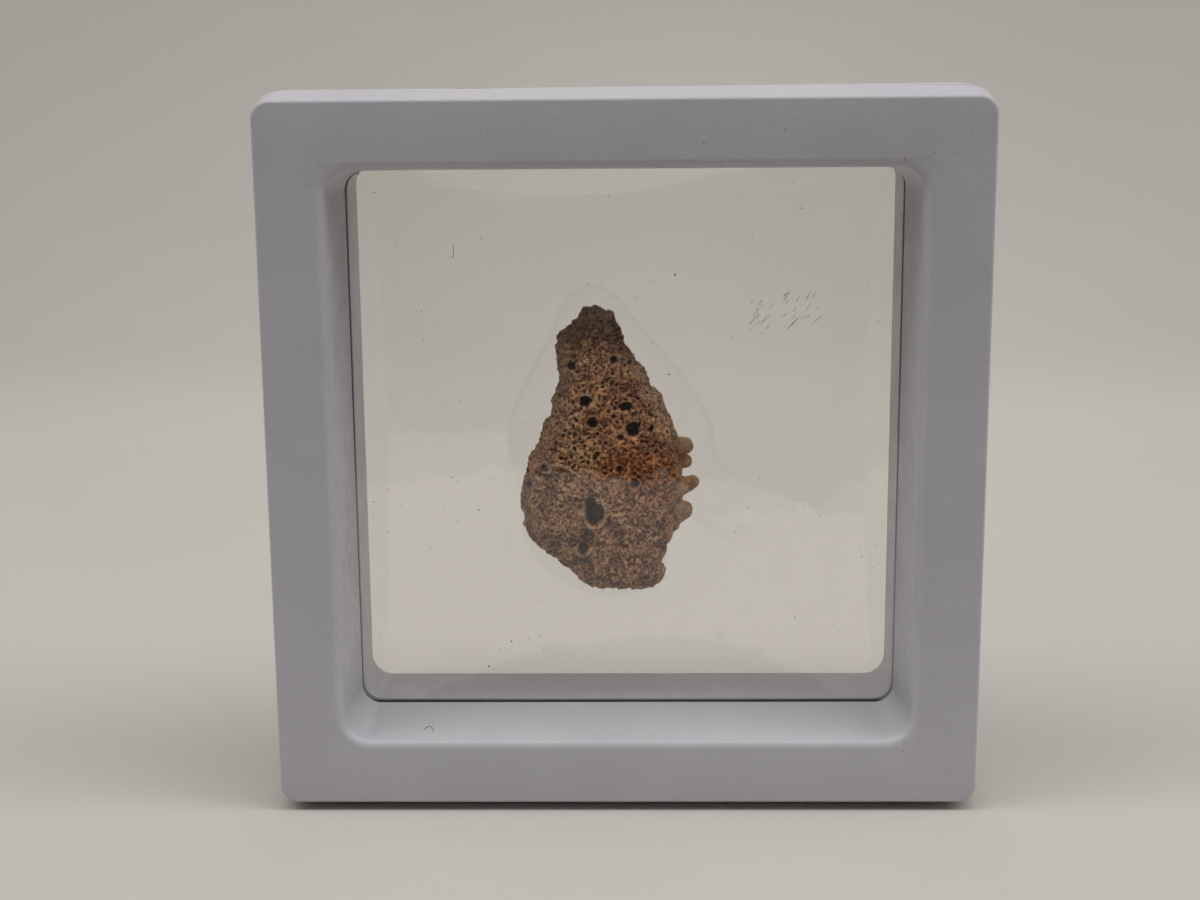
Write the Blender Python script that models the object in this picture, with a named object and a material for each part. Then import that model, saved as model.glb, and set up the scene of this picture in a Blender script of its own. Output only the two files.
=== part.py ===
"""Fossil armour plate (osteoderm) floating between two stretched clear films
in a square free-standing display frame of two moulded halves.

Units are metres, +Z is up, +X is to the right of somebody looking at the front,
and the front face looks towards -Y. The origin is at the middle of the footprint,
on the surface that the frame stands on.
"""
import math

import bmesh
import bpy
import numpy as np
from mathutils import Matrix, Vector, noise
from mathutils.bvhtree import BVHTree

for old in list(bpy.data.objects):
    bpy.data.objects.remove(old, do_unlink=True)

MM = 0.001

# ---------------------------------------------------------------- frame, mm
HALF_SIZE = 35.0          # half width of the frame at its widest, along the parting line
HALF_DEPTH = 10.0         # each moulded half, front face to parting plane
FACE_HALF = 34.15         # half width at the front face: the outer sides taper towards it
LAND_DEPTH = 3.0          # straight strip beside the parting line that the frame stands on
OUTER_CORNER = 2.6        # corner radius at the widest point, seen from the front
EDGE_ROUND = 0.3          # rounding of the outer front edge
OPENING_FACE = 27.7       # half width of the window at the front face
OPENING_BACK = 27.35      # and at the rear face, whose half has less draft
OPENING_PARTING = 27.05   # half width of the window at the parting plane
OPENING_CORNER = 1.9      # window corner radius
OPENING_ROUND = 0.85      # rounding of the window's edge at the face
SEAT_HALF = 30.6          # outer edge of the ledge that the film is bonded to
SEAT_DEPTH = 0.70         # ledge below the parting plane
PARTING_GAP = 0.15        # each half stops this short of the parting plane
PEG_PLACE = 32.25         # pegs sit on the diagonals, in the corners
PEG_RADIUS = 1.1
PEG_LENGTH = 4.0
PEG_CLEARANCE = 0.3
CORNER_STEPS = 8          # segments in each quarter round, seen from the front
CENTRE_Z = HALF_SIZE      # height of the middle of the window

# ---------------------------------------------------------------- films, mm
FILM_THICK = 0.25
FILM_PLANE = 0.175        # inner face of each film, from the parting plane, where it lies flat
FILM_RIM = 30.2           # half width of the film's bonded rim
FILM_RIM_CORNER = 4.6
FILM_OVER_BONE = 0.40     # clearance of the film's inner face over the bone
FILM_NET = 0.5            # spacing of the net on which the films' shape is worked out
FILM_CLING = 0.50         # how sharply the films close around the bone, 1/mm

# ---------------------------------------------------------------- bone, mm
# Stations up the plate, as a ship's lines are given: height above the ground,
# left edge, right edge, how far the front bulges forward, how far the back bulges back.
BONE_STATIONS = (
    (20.15, -0.9, 1.9, 1.0, 1.0),
    (20.8, -3.6, 3.4, 2.0, 1.8),
    (21.8, -5.3, 4.0, 2.9, 2.4),
    (22.7, -6.4, 3.5, 3.3, 2.6),
    (24.2, -8.2, 3.9, 3.8, 2.9),
    (26.3, -9.9, 5.1, 4.2, 3.1),
    (28.6, -10.5, 5.7, 4.4, 3.2),
    (31.0, -10.5, 5.8, 4.4, 3.2),
    (33.6, -9.8, 5.6, 4.3, 3.1),
    (36.3, -8.6, 5.1, 4.1, 2.9),
    (38.8, -7.4, 4.2, 3.8, 2.6),
    (41.4, -6.6, 2.4, 3.3, 2.3),
    (43.8, -6.9, 0.8, 2.6, 2.0),
    (45.6, -6.7, -0.3, 2.1, 1.8),
    (47.2, -5.0, -0.9, 1.6, 1.5),
    (48.2, -4.1, -1.9, 1.2, 1.1),
    (48.7, -3.5, -2.6, 0.7, 0.6),
)
BONE_FULLNESS = 2.5       # roundness of the sections: 2 is an ellipse, more is fuller
BONE_COLUMNS = 36
BONE_ROWS = 28
BONE_LUMP = 0.22          # height of the low lumps of its surface
BONE_LUMP_SPAN = 2.1      # and their spacing
HOLLOW_DEPTH = 0.9        # shallow hollow in the middle of the back
LEAN = 0.45               # how far the upper left of the plate stands forward, and the lower left back
# Finger-like projections: root (x, z), tip (x, z), root radius, tip radius, depth behind the parting plane
FINGERS = (
    ((4.3, 34.35), (5.85, 34.35), 0.98, 0.88, 0.5),
    ((4.5, 32.60), (5.95, 32.55), 0.90, 0.74, 0.9),
    ((4.6, 30.25), (6.62, 30.74), 1.20, 0.74, 0.5),
    ((4.2, 27.55), (5.82, 27.75), 1.45, 0.92, 0.6),
)
KNOB = ((2.95, 21.75), 1.0, 0.2)   # rounded corner below the notch at the lower right: (x, z), radius, depth
# Larger blood-vessel openings in the front: x, z, radius across, radius up, depth
VESSELS = (
    (-3.15, 29.2, 0.72, 1.30, 2.3),
    (-4.15, 24.9, 0.58, 0.60, 1.3),
    (0.75, 37.1, 0.64, 0.64, 1.8),
    (0.05, 39.4, 0.64, 0.50, 1.6),
    (-3.75, 40.1, 0.52, 0.52, 1.5),
    (-3.05, 37.8, 0.50, 0.50, 1.3),
)


def material(name, colour, roughness, metallic=0.0, transmission=0.0, ior=1.5):
    mat = bpy.data.materials.new(name)
    mat.use_nodes = True
    shader = mat.node_tree.nodes["Principled BSDF"]
    shader.inputs["Base Color"].default_value = (*colour, 1.0)
    shader.inputs["Roughness"].default_value = roughness
    shader.inputs["Metallic"].default_value = metallic
    shader.inputs["Transmission Weight"].default_value = transmission
    shader.inputs["IOR"].default_value = ior
    mat.diffuse_color = (*colour, 1.0 - 0.7 * transmission)
    return mat


PLASTIC = material("frame_plastic", (0.70, 0.70, 0.75), 0.55)
FILM = material("clear_film", (0.96, 0.96, 0.95), 0.05, transmission=1.0, ior=1.5)
BONE = material("fossil_bone", (0.27, 0.17, 0.10), 0.8)


def finish(name, bm, mat, smooth_angle=32.0):
    bmesh.ops.recalc_face_normals(bm, faces=bm.faces)
    mesh = bpy.data.meshes.new(name)
    bm.to_mesh(mesh)
    bm.free()
    mesh.materials.append(mat)
    obj = bpy.data.objects.new(name, mesh)
    bpy.context.scene.collection.objects.link(obj)
    mesh.shade_smooth()
    mesh.set_sharp_from_angle(angle=math.radians(smooth_angle))
    return obj


# ------------------------------------------------------------ frame halves
def rounded_square(half, radius):
    """Corners of a rounded square around the window's middle, in mm, anticlockwise from the right."""
    points = []
    centre = half - radius
    for quarter in range(4):
        cx = centre if quarter in (0, 3) else -centre
        cz = centre if quarter in (0, 1) else -centre
        for step in range(CORNER_STEPS + 1):
            a = math.radians(90 * quarter + 90 * step / CORNER_STEPS)
            points.append((cx + radius * math.cos(a), cz + radius * math.sin(a)))
    return points


def half_section(opening):
    """Closed section of a half's rim: (half width, distance from the parting plane, corner radius)."""
    inner_centre = OPENING_PARTING - OPENING_CORNER
    outer_centre = HALF_SIZE - OUTER_CORNER
    section = []

    def inner(half, depth):
        section.append((half, depth, half - inner_centre))

    def outer(half, depth):
        section.append((half, depth, half - outer_centre))

    inner(OPENING_PARTING, SEAT_DEPTH + 0.15)
    inner(OPENING_PARTING + 0.15, SEAT_DEPTH)
    inner(SEAT_HALF, SEAT_DEPTH)
    inner(SEAT_HALF, PARTING_GAP)
    outer(HALF_SIZE - 0.25, PARTING_GAP)
    outer(HALF_SIZE, PARTING_GAP + 0.25)
    outer(HALF_SIZE, LAND_DEPTH)
    steps = 4
    for i in range(steps + 1):
        a = math.radians(90 * i / steps)
        outer(FACE_HALF - EDGE_ROUND + EDGE_ROUND * math.cos(a), HALF_DEPTH - EDGE_ROUND + EDGE_ROUND * math.sin(a))
    for i in range(steps + 1):
        a = math.radians(90 * i / steps)
        inner(opening + OPENING_ROUND - OPENING_ROUND * math.sin(a), HALF_DEPTH - OPENING_ROUND + OPENING_ROUND * math.cos(a))
    return section


def cylinder_y(bm, x, z, radius, y0, y1, sides=16, tip=0.0):
    """Round bar along Y, with a chamfer of the given size at its y1 end."""
    rings = [(y0, radius), (y1 - math.copysign(tip, y1 - y0), radius)]
    if tip:
        rings.append((y1, radius - tip))
    loops = []
    for y, r in rings:
        loops.append([
            bm.verts.new(Vector((x + r * math.cos(2 * math.pi * i / sides), y, z + r * math.sin(2 * math.pi * i / sides))) * MM)
            for i in range(sides)
        ])
    for a, b in zip(loops, loops[1:]):
        for i in range(sides):
            j = (i + 1) % sides
            bm.faces.new((a[i], a[j], b[j], b[i]))
    bm.faces.new(loops[0])
    bm.faces.new(loops[-1])


def apply_boolean(obj, other_bm, operation, name):
    bmesh.ops.recalc_face_normals(other_bm, faces=other_bm.faces)
    mesh = bpy.data.meshes.new(name)
    other_bm.to_mesh(mesh)
    other_bm.free()
    tool = bpy.data.objects.new(name, mesh)
    bpy.context.scene.collection.objects.link(tool)
    tool.hide_render = True
    tool.display_type = 'WIRE'
    mod = obj.modifiers.new(name, 'BOOLEAN')
    mod.operation = operation
    mod.solver = 'EXACT'
    mod.object = tool
    return tool


def frame_half(name, side):
    """side is -1 for the front half and +1 for the rear half."""
    bm = bmesh.new()
    loops = []
    for half, depth, radius in half_section(OPENING_FACE if side < 0 else OPENING_BACK):
        loops.append([
            bm.verts.new(Vector((x, side * depth, z + CENTRE_Z)) * MM)
            for x, z in rounded_square(half, radius)
        ])
    count = len(loops[0])
    for a, b in zip(loops, loops[1:] + loops[:1]):
        for i in range(count):
            j = (i + 1) % count
            bm.faces.new((a[i], a[j], b[j], b[i]))
    return finish(name, bm, PLASTIC)


frame_front = frame_half("frame_front", -1)
frame_rear = frame_half("frame_rear", +1)

pegs = bmesh.new()
sockets = bmesh.new()
for sx in (-1, 1):
    for sz in (-1, 1):
        cylinder_y(pegs, sx * PEG_PLACE, CENTRE_Z + sz * PEG_PLACE, PEG_RADIUS, -PARTING_GAP - 1.0, PEG_LENGTH, tip=0.3)
        cylinder_y(sockets, sx * PEG_PLACE, CENTRE_Z + sz * PEG_PLACE, PEG_RADIUS + PEG_CLEARANCE, -1.0, PEG_LENGTH + 0.4)
apply_boolean(frame_front, pegs, 'UNION', "guide_pegs")
apply_boolean(frame_rear, sockets, 'DIFFERENCE', "guide_sockets")


# ------------------------------------------------------------ the bone
def smooth_table(table, rows):
    """Reads a table of stations along a smooth curve that passes through each of them."""
    table = np.array(table, float)
    z = table[:, 0]
    slopes = np.gradient(table, z, axis=0)
    at = []
    for value in rows:
        i = int(np.clip(np.searchsorted(z, value) - 1, 0, len(z) - 2))
        h = z[i + 1] - z[i]
        t = (value - z[i]) / h
        at.append(
            (2 * t**3 - 3 * t**2 + 1) * table[i] + (t**3 - 2 * t**2 + t) * h * slopes[i]
            + (-2 * t**3 + 3 * t**2) * table[i + 1] + (t**3 - t**2) * h * slopes[i + 1]
        )
    return np.array(at)


def bone_body():
    bm = bmesh.new()
    low, high = BONE_STATIONS[0][0], BONE_STATIONS[-1][0]
    # rows crowd together towards both ends, where the plate rounds off
    rows = [low + (high - low) * 0.5 * (1 - math.cos(math.pi * i / (BONE_ROWS - 1))) * 0.75
            + (high - low) * 0.25 * i / (BONE_ROWS - 1) for i in range(BONE_ROWS)]
    loops = []
    for z, left, right, front, back in smooth_table(BONE_STATIONS, rows):
        middle, half = (left + right) / 2, (right - left) / 2
        height = (z - low) / (high - low)
        loop = []
        for i in range(BONE_COLUMNS):
            a = 2 * math.pi * i / BONE_COLUMNS
            c, s = math.cos(a), math.sin(a)
            u = math.copysign(abs(c) ** (2 / BONE_FULLNESS), c)
            w = math.copysign(abs(s) ** (2 / BONE_FULLNESS), s)
            x = middle + half * u
            y = w * (back if s > 0 else front)
            if s > 0:
                # the back is dished, as the side that lay against the body is
                dish = max(0.0, 1 - (u / 0.75) ** 2) * math.sin(math.pi * min(1.0, max(0.0, height * 1.25))) ** 2
                y -= HOLLOW_DEPTH * dish * min(1.0, back / 2.5)
            y -= LEAN * math.tanh((z - 33.0) / 6.0) * min(1.0, max(0.0, 0.5 - x / 12.0)) * min(1.0, 1.5 * abs(w))
            loop.append(Vector((x, y, z)))
        loops.append(loop)
    verts = []
    for loop in loops:
        ring = []
        for p in loop:
            q = p / BONE_LUMP_SPAN
            out = Vector((0.25 * (p.x + 1.5), p.y, 0.0))
            out = out.normalized() if out.length > 1e-6 else Vector((0, 0, 0))
            lump = BONE_LUMP * noise.noise(q + Vector((3.1, 7.7, 1.3)))
            ring.append(bm.verts.new((p + out * lump) * MM))
        verts.append(ring)
    for a, b in zip(verts, verts[1:]):
        for i in range(BONE_COLUMNS):
            j = (i + 1) % BONE_COLUMNS
            bm.faces.new((a[i], a[j], b[j], b[i]))
    bm.faces.new(verts[0])
    bm.faces.new(verts[-1])
    return bm


def finger(bm, root, tip, r0, r1, depth, sides=10, rings=3):
    """Tapering bar with a rounded end, lying along the plate's edge."""
    start, end = Vector((root[0], depth, root[1])), Vector((tip[0], depth + 0.1, tip[1]))
    along = (end - start).normalized()
    across = along.cross(Vector((0, 1, 0))).normalized()
    up = across.cross(along)
    stations = [(start - along * 0.8, r0 * 0.75), (start, r0), (start.lerp(end, 0.5), (r0 + r1) / 2 * 0.96), (end, r1)]
    for i in range(1, rings + 1):
        a = math.radians(90 * i / (rings + 0.35))
        stations.append((end + along * (r1 * math.sin(a)), r1 * math.cos(a)))
    loops = []
    for centre, r in stations:
        loops.append([
            bm.verts.new((centre + (across * math.cos(2 * math.pi * k / sides) + up * 0.9 * math.sin(2 * math.pi * k / sides)) * r) * MM)
            for k in range(sides)
        ])
    for a, b in zip(loops, loops[1:]):
        for k in range(sides):
            m = (k + 1) % sides
            bm.faces.new((a[k], a[m], b[m], b[k]))
    bm.faces.new(loops[0])
    bm.faces.new(loops[-1])


osteoderm = finish("osteoderm", bone_body(), BONE, 60.0)

for number, (root, tip, r0, r1, depth) in enumerate(FINGERS):
    tool = bmesh.new()
    finger(tool, root, tip, r0, r1, depth)
    apply_boolean(osteoderm, tool, 'UNION', f"guide_finger_{number + 1}")

tool = bmesh.new()
(knob_x, knob_z), knob_r, knob_y = KNOB
bmesh.ops.create_icosphere(tool, subdivisions=2, radius=knob_r * MM,
                           matrix=Matrix.Translation(Vector((knob_x, knob_y, knob_z)) * MM) @ Matrix.Diagonal((1.0, 1.5, 1.0, 1.0)))
apply_boolean(osteoderm, tool, 'UNION', "guide_knob")

# The vessel openings are sunk into the front as egg-shaped hollows.
bpy.context.view_layer.update()
depsgraph = bpy.context.evaluated_depsgraph_get()


def surface_tree(obj):
    evaluated = obj.evaluated_get(depsgraph)
    mesh = evaluated.to_mesh()
    tree = BVHTree.FromPolygons([v.co.copy() for v in mesh.vertices], [tuple(p.vertices) for p in mesh.polygons])
    evaluated.to_mesh_clear()
    return tree


tree = surface_tree(osteoderm)
for number, (x, z, rx, rz, deep) in enumerate(VESSELS):
    hit, normal, _, _ = tree.ray_cast(Vector((x, -20, z)) * MM, Vector((0, 1, 0)))
    tool = bmesh.new()
    bmesh.ops.create_uvsphere(tool, u_segments=10, v_segments=7, radius=MM,
                              matrix=Matrix.Translation(hit) @ Matrix.Diagonal((rx, deep, rz, 1.0)))
    apply_boolean(osteoderm, tool, 'DIFFERENCE', f"guide_vessel_{number + 1}")


# ------------------------------------------------------------ the films
def film_heights(side):
    """Height of a film's inner face over its flat plane, in mm, on a fine net over the window.

    The film is stretched over the bone and clings to the other film beyond it, so it comes
    down steeply and meets the flat plane a few millimetres from the bone's edge.
    """
    reach = int(round(FILM_RIM / FILM_NET))
    net = np.arange(-reach, reach + 1) * FILM_NET
    bone = np.full((len(net), len(net)), -1.0)
    around_point = [(0.0, 0.0)] + [(r * math.cos(a * math.pi / 4), r * math.sin(a * math.pi / 4)) for r in (0.45, 0.85) for a in range(8)]
    for i, x in enumerate(net):
        for k, z in enumerate(net):
            if abs(x + 1.5) > 11.5 or abs(z) > 17:
                continue
            for dx, dz in around_point:
                start = Vector((x + dx, side * 20, z + dz + CENTRE_Z)) * MM
                hit = tree.ray_cast(start, Vector((0, -side, 0)))[0]
                if hit is not None:
                    bone[i, k] = max(bone[i, k], side * hit.y / MM + FILM_OVER_BONE - FILM_PLANE)
    height = np.maximum(bone, 0.0)
    ii, kk = np.indices(height.shape)
    inside = (np.abs(net)[:, None] < 26) & (np.abs(net)[None, :] < 26)
    pull = FILM_CLING * FILM_NET**2
    for _ in range(900):
        for parity in (0, 1):
            mean = np.zeros_like(height)
            mean[1:-1, 1:-1] = 0.25 * (height[2:, 1:-1] + height[:-2, 1:-1] + height[1:-1, 2:] + height[1:-1, :-2] - pull)
            cells = ((ii + kk) % 2 == parity) & inside
            height = np.where(cells, np.maximum.reduce([height + 1.7 * (mean - height), bone, np.zeros_like(height)]), height)
    return net, height


def sample(net, height, x, z):
    fx = np.clip((x - net[0]) / FILM_NET, 0, len(net) - 1.001)
    fz = np.clip((z - net[0]) / FILM_NET, 0, len(net) - 1.001)
    i, k = int(fx), int(fz)
    u, v = fx - i, fz - k
    return float((1 - u) * (1 - v) * height[i, k] + u * (1 - v) * height[i + 1, k]
                 + (1 - u) * v * height[i, k + 1] + u * v * height[i + 1, k + 1])


def film(name, side):
    net, height = film_heights(side)
    # the mesh is fine over the bone and coarse where the film lies flat
    columns = [-FILM_RIM, -17.5] + [-15.0 + 1.5 * i for i in range(19)] + [15.0, FILM_RIM]
    lines = [-FILM_RIM, -21.0] + [-18.5 + 1.6 * i for i in range(24)] + [21.5, FILM_RIM]
    bm = bmesh.new()
    layers = []
    for thick in (0.0, FILM_THICK):
        grid = []
        for x in columns:
            line = []
            for z in lines:
                px, pz = x, z
                edge = FILM_RIM - FILM_RIM_CORNER
                if abs(x) == FILM_RIM and abs(z) == FILM_RIM:
                    # clipped corners of the film
                    px = math.copysign(edge + FILM_RIM_CORNER * math.cos(math.radians(45)), x)
                    pz = math.copysign(edge + FILM_RIM_CORNER * math.sin(math.radians(45)), z)
                h = sample(net, height, x, z)
                line.append(bm.verts.new(Vector((px, side * (FILM_PLANE + h + thick), pz + CENTRE_Z)) * MM))
            grid.append(line)
        layers.append(grid)
    nx, nz = len(columns), len(lines)
    for grid in layers:
        for i in range(nx - 1):
            for k in range(nz - 1):
                bm.faces.new((grid[i][k], grid[i + 1][k], grid[i + 1][k + 1], grid[i][k + 1]))
    inner, outer = layers
    border = [(i, 0) for i in range(nx)] + [(nx - 1, k) for k in range(1, nz)] \
        + [(i, nz - 1) for i in range(nx - 2, -1, -1)] + [(0, k) for k in range(nz - 2, 0, -1)]
    for (i, k), (m, n) in zip(border, border[1:] + border[:1]):
        bm.faces.new((inner[i][k], inner[m][n], outer[m][n], outer[i][k]))
    return finish(name, bm, FILM, 50.0)


membrane_front = film("membrane_front", -1)
membrane_rear = film("membrane_rear", +1)
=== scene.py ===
"""Looks of the fossil armour plate in its floating display frame.

Lengths in the tables are millimetres in the row frame: +X to the viewer's right,
-Y towards the viewer, +Z up, origin under the middle of the frame.
"""
import math

import bmesh
import bpy
import numpy as np
from mathutils import Matrix, Vector, kdtree


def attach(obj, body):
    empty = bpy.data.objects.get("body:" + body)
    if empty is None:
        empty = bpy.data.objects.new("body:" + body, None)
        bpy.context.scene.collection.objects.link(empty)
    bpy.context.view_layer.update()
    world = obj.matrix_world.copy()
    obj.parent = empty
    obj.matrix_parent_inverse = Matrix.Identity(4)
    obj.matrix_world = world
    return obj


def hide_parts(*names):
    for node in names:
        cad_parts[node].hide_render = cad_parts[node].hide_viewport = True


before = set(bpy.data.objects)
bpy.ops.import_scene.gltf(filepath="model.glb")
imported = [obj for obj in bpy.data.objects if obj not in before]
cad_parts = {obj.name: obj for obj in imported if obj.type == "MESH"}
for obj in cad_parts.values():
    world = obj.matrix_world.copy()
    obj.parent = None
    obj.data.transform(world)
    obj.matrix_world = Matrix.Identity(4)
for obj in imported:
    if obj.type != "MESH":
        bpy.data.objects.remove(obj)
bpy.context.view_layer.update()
scene = bpy.context.scene

MM = 0.001
CENTRE_Z = 35.0


# ======================================================================
# camera: the photograph's viewpoint, worked out from the frame's edges
# ======================================================================
def make_camera():
    pitch, yaw, roll = 0.214871, 0.0214147, -0.0085348
    forward = Vector((-math.sin(yaw) * math.cos(pitch), math.cos(yaw) * math.cos(pitch), -math.sin(pitch)))
    right = forward.cross(Vector((0, 0, 1))).normalized()
    up = right.cross(forward)
    turn = Matrix((right, up, -forward)).transposed()
    data = bpy.data.cameras.new("viewpoint")
    data.sensor_width = 36.0
    data.lens = 1927.216 / 1200 * 36.0
    data.clip_start = 0.005
    data.clip_end = 20.0
    camera = bpy.data.objects.new("viewpoint", data)
    scene.collection.objects.link(camera)
    camera.matrix_world = (Matrix.Translation(Vector((1.444, -187.743, 75.174)) * MM)
                           @ turn.to_4x4() @ Matrix.Rotation(roll, 4, 'Z'))
    scene.camera = camera


make_camera()


# ======================================================================
# small helpers
# ======================================================================
def lattice(p, seed):
    """Gradient noise at the points p, about -1 to 1."""
    p = np.asarray(p, float)
    cell = np.floor(p).astype(np.int64)
    f = p - cell
    u = f * f * f * (f * (f * 6 - 15) + 10)
    total = np.zeros(len(p))
    for dx in (0, 1):
        for dy in (0, 1):
            for dz in (0, 1):
                h = ((cell[:, 0] + dx) * 73856093) ^ ((cell[:, 1] + dy) * 19349663) ^ ((cell[:, 2] + dz) * 83492791)
                h = (h ^ (seed * 7919)) & 0x7FFFFFFF
                h = ((h ^ (h >> 13)) * 1274126177) & 0x7FFFFFFF
                h = ((h ^ (h >> 15)) * 668265263) & 0x7FFFFFFF
                h = h ^ (h >> 16)
                gx = (h & 1023) / 511.5 - 1
                gy = ((h >> 10) & 1023) / 511.5 - 1
                gz = ((h >> 20) & 1023) / 511.5 - 1
                w = ((u[:, 0] if dx else 1 - u[:, 0]) * (u[:, 1] if dy else 1 - u[:, 1])
                     * (u[:, 2] if dz else 1 - u[:, 2]))
                total += w * (gx * (f[:, 0] - dx) + gy * (f[:, 1] - dy) + gz * (f[:, 2] - dz))
    return total * 1.25


def fractal(p, seed, octaves=3, gain=0.5):
    total, size = 0.0, 1.0
    for k in range(octaves):
        total = total + size * lattice(np.asarray(p) * 2.0**k, seed + 17 * k)
        size *= gain
    return total


def step(a, b, v):
    t = np.clip((np.asarray(v, float) - a) / (b - a), 0.0, 1.0)
    return t * t * (3 - 2 * t)


def link_mesh(name, verts, faces, mat, smooth=True, sharp=None):
    mesh = bpy.data.meshes.new(name)
    mesh.from_pydata([tuple(v) for v in verts], [], faces)
    mesh.update()
    obj = bpy.data.objects.new(name, mesh)
    scene.collection.objects.link(obj)
    if mat is not None:
        mesh.materials.append(mat)
    if smooth:
        mesh.shade_smooth()
        if sharp is not None:
            mesh.set_sharp_from_angle(angle=math.radians(sharp))
    return obj


def outward(obj):
    bm = bmesh.new()
    bm.from_mesh(obj.data)
    bmesh.ops.recalc_face_normals(bm, faces=bm.faces)
    bm.to_mesh(obj.data)
    bm.free()


def add_attribute(mesh, name, values, kind='FLOAT'):
    attribute = mesh.attributes.new(name, kind, 'POINT')
    if kind == 'FLOAT':
        attribute.data.foreach_set("value", np.asarray(values, np.float32))
    else:
        attribute.data.foreach_set("vector", np.asarray(values, np.float32).ravel())


# ---------------------------------------------------------------- shader nodes
class Nodes:
    """Short-hand for building one material's node tree."""

    def __init__(self, name):
        self.mat = bpy.data.materials.new(name)
        self.mat.use_nodes = True
        self.tree = self.mat.node_tree
        self.bsdf = self.tree.nodes["Principled BSDF"]
        self.out = self.tree.nodes["Material Output"]

    def node(self, kind, **settings):
        made = self.tree.nodes.new(kind)
        for key, value in settings.items():
            setattr(made, key, value)
        return made

    def link(self, a, b):
        self.tree.links.new(a, b)

    def put(self, socket, value):
        if isinstance(value, bpy.types.NodeSocket):
            self.link(value, socket)
        else:
            socket.default_value = value

    def coords(self):
        """Position on the object in millimetres."""
        tex = self.node("ShaderNodeTexCoord")
        scale = self.node("ShaderNodeVectorMath", operation='SCALE')
        self.link(tex.outputs["Object"], scale.inputs[0])
        scale.inputs["Scale"].default_value = 1000.0
        return scale.outputs["Vector"]

    def attribute(self, name, vector=False):
        made = self.node("ShaderNodeAttribute", attribute_name=name)
        return made.outputs["Vector" if vector else "Fac"]

    def noise(self, at, scale, detail=2.0, rough=0.5, distortion=0.0):
        made = self.node("ShaderNodeTexNoise")
        self.link(at, made.inputs["Vector"])
        made.inputs["Scale"].default_value = scale
        made.inputs["Detail"].default_value = detail
        made.inputs["Roughness"].default_value = rough
        made.inputs["Distortion"].default_value = distortion
        return made.outputs["Fac"]

    def ramp(self, value, low, high, to_low=0.0, to_high=1.0, smooth=True):
        made = self.node("ShaderNodeMapRange", interpolation_type='SMOOTHSTEP' if smooth else 'LINEAR')
        self.put(made.inputs["Value"], value)
        made.inputs["From Min"].default_value = low
        made.inputs["From Max"].default_value = high
        made.inputs["To Min"].default_value = to_low
        made.inputs["To Max"].default_value = to_high
        return made.outputs["Result"]

    def math(self, operation, a, b=None):
        made = self.node("ShaderNodeMath", operation=operation)
        self.put(made.inputs[0], a)
        if b is not None:
            self.put(made.inputs[1], b)
        return made.outputs[0]

    def mix(self, factor, a, b, blend='MIX'):
        made = self.node("ShaderNodeMix", data_type='RGBA', blend_type=blend)
        self.put(made.inputs["Factor"], factor)
        self.put(made.inputs[6], (*a, 1.0) if isinstance(a, tuple) else a)
        self.put(made.inputs[7], (*b, 1.0) if isinstance(b, tuple) else b)
        return made.outputs[2]

    def axis(self, at):
        made = self.node("ShaderNodeSeparateXYZ")
        self.link(at, made.inputs[0])
        return made.outputs

    def bump(self, height, strength, distance_mm, normal=None):
        made = self.node("ShaderNodeBump")
        made.inputs["Strength"].default_value = strength
        made.inputs["Distance"].default_value = distance_mm * MM
        self.link(height, made.inputs["Height"])
        if normal is not None:
            self.link(normal, made.inputs["Normal"])
        return made.outputs["Normal"]

    def near(self, at, centre, reach, power=1.0):
        """1 at centre (mm), falling to 0 at reach (mm along x, y, z)."""
        shift = self.node("ShaderNodeVectorMath", operation='SUBTRACT')
        self.link(at, shift.inputs[0])
        shift.inputs[1].default_value = centre
        scale = self.node("ShaderNodeVectorMath", operation='DIVIDE')
        self.link(shift.outputs[0], scale.inputs[0])
        scale.inputs[1].default_value = reach
        length = self.node("ShaderNodeVectorMath", operation='LENGTH')
        self.link(scale.outputs[0], length.inputs[0])
        return self.ramp(length.outputs["Value"], 1.0, 0.0)


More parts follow.
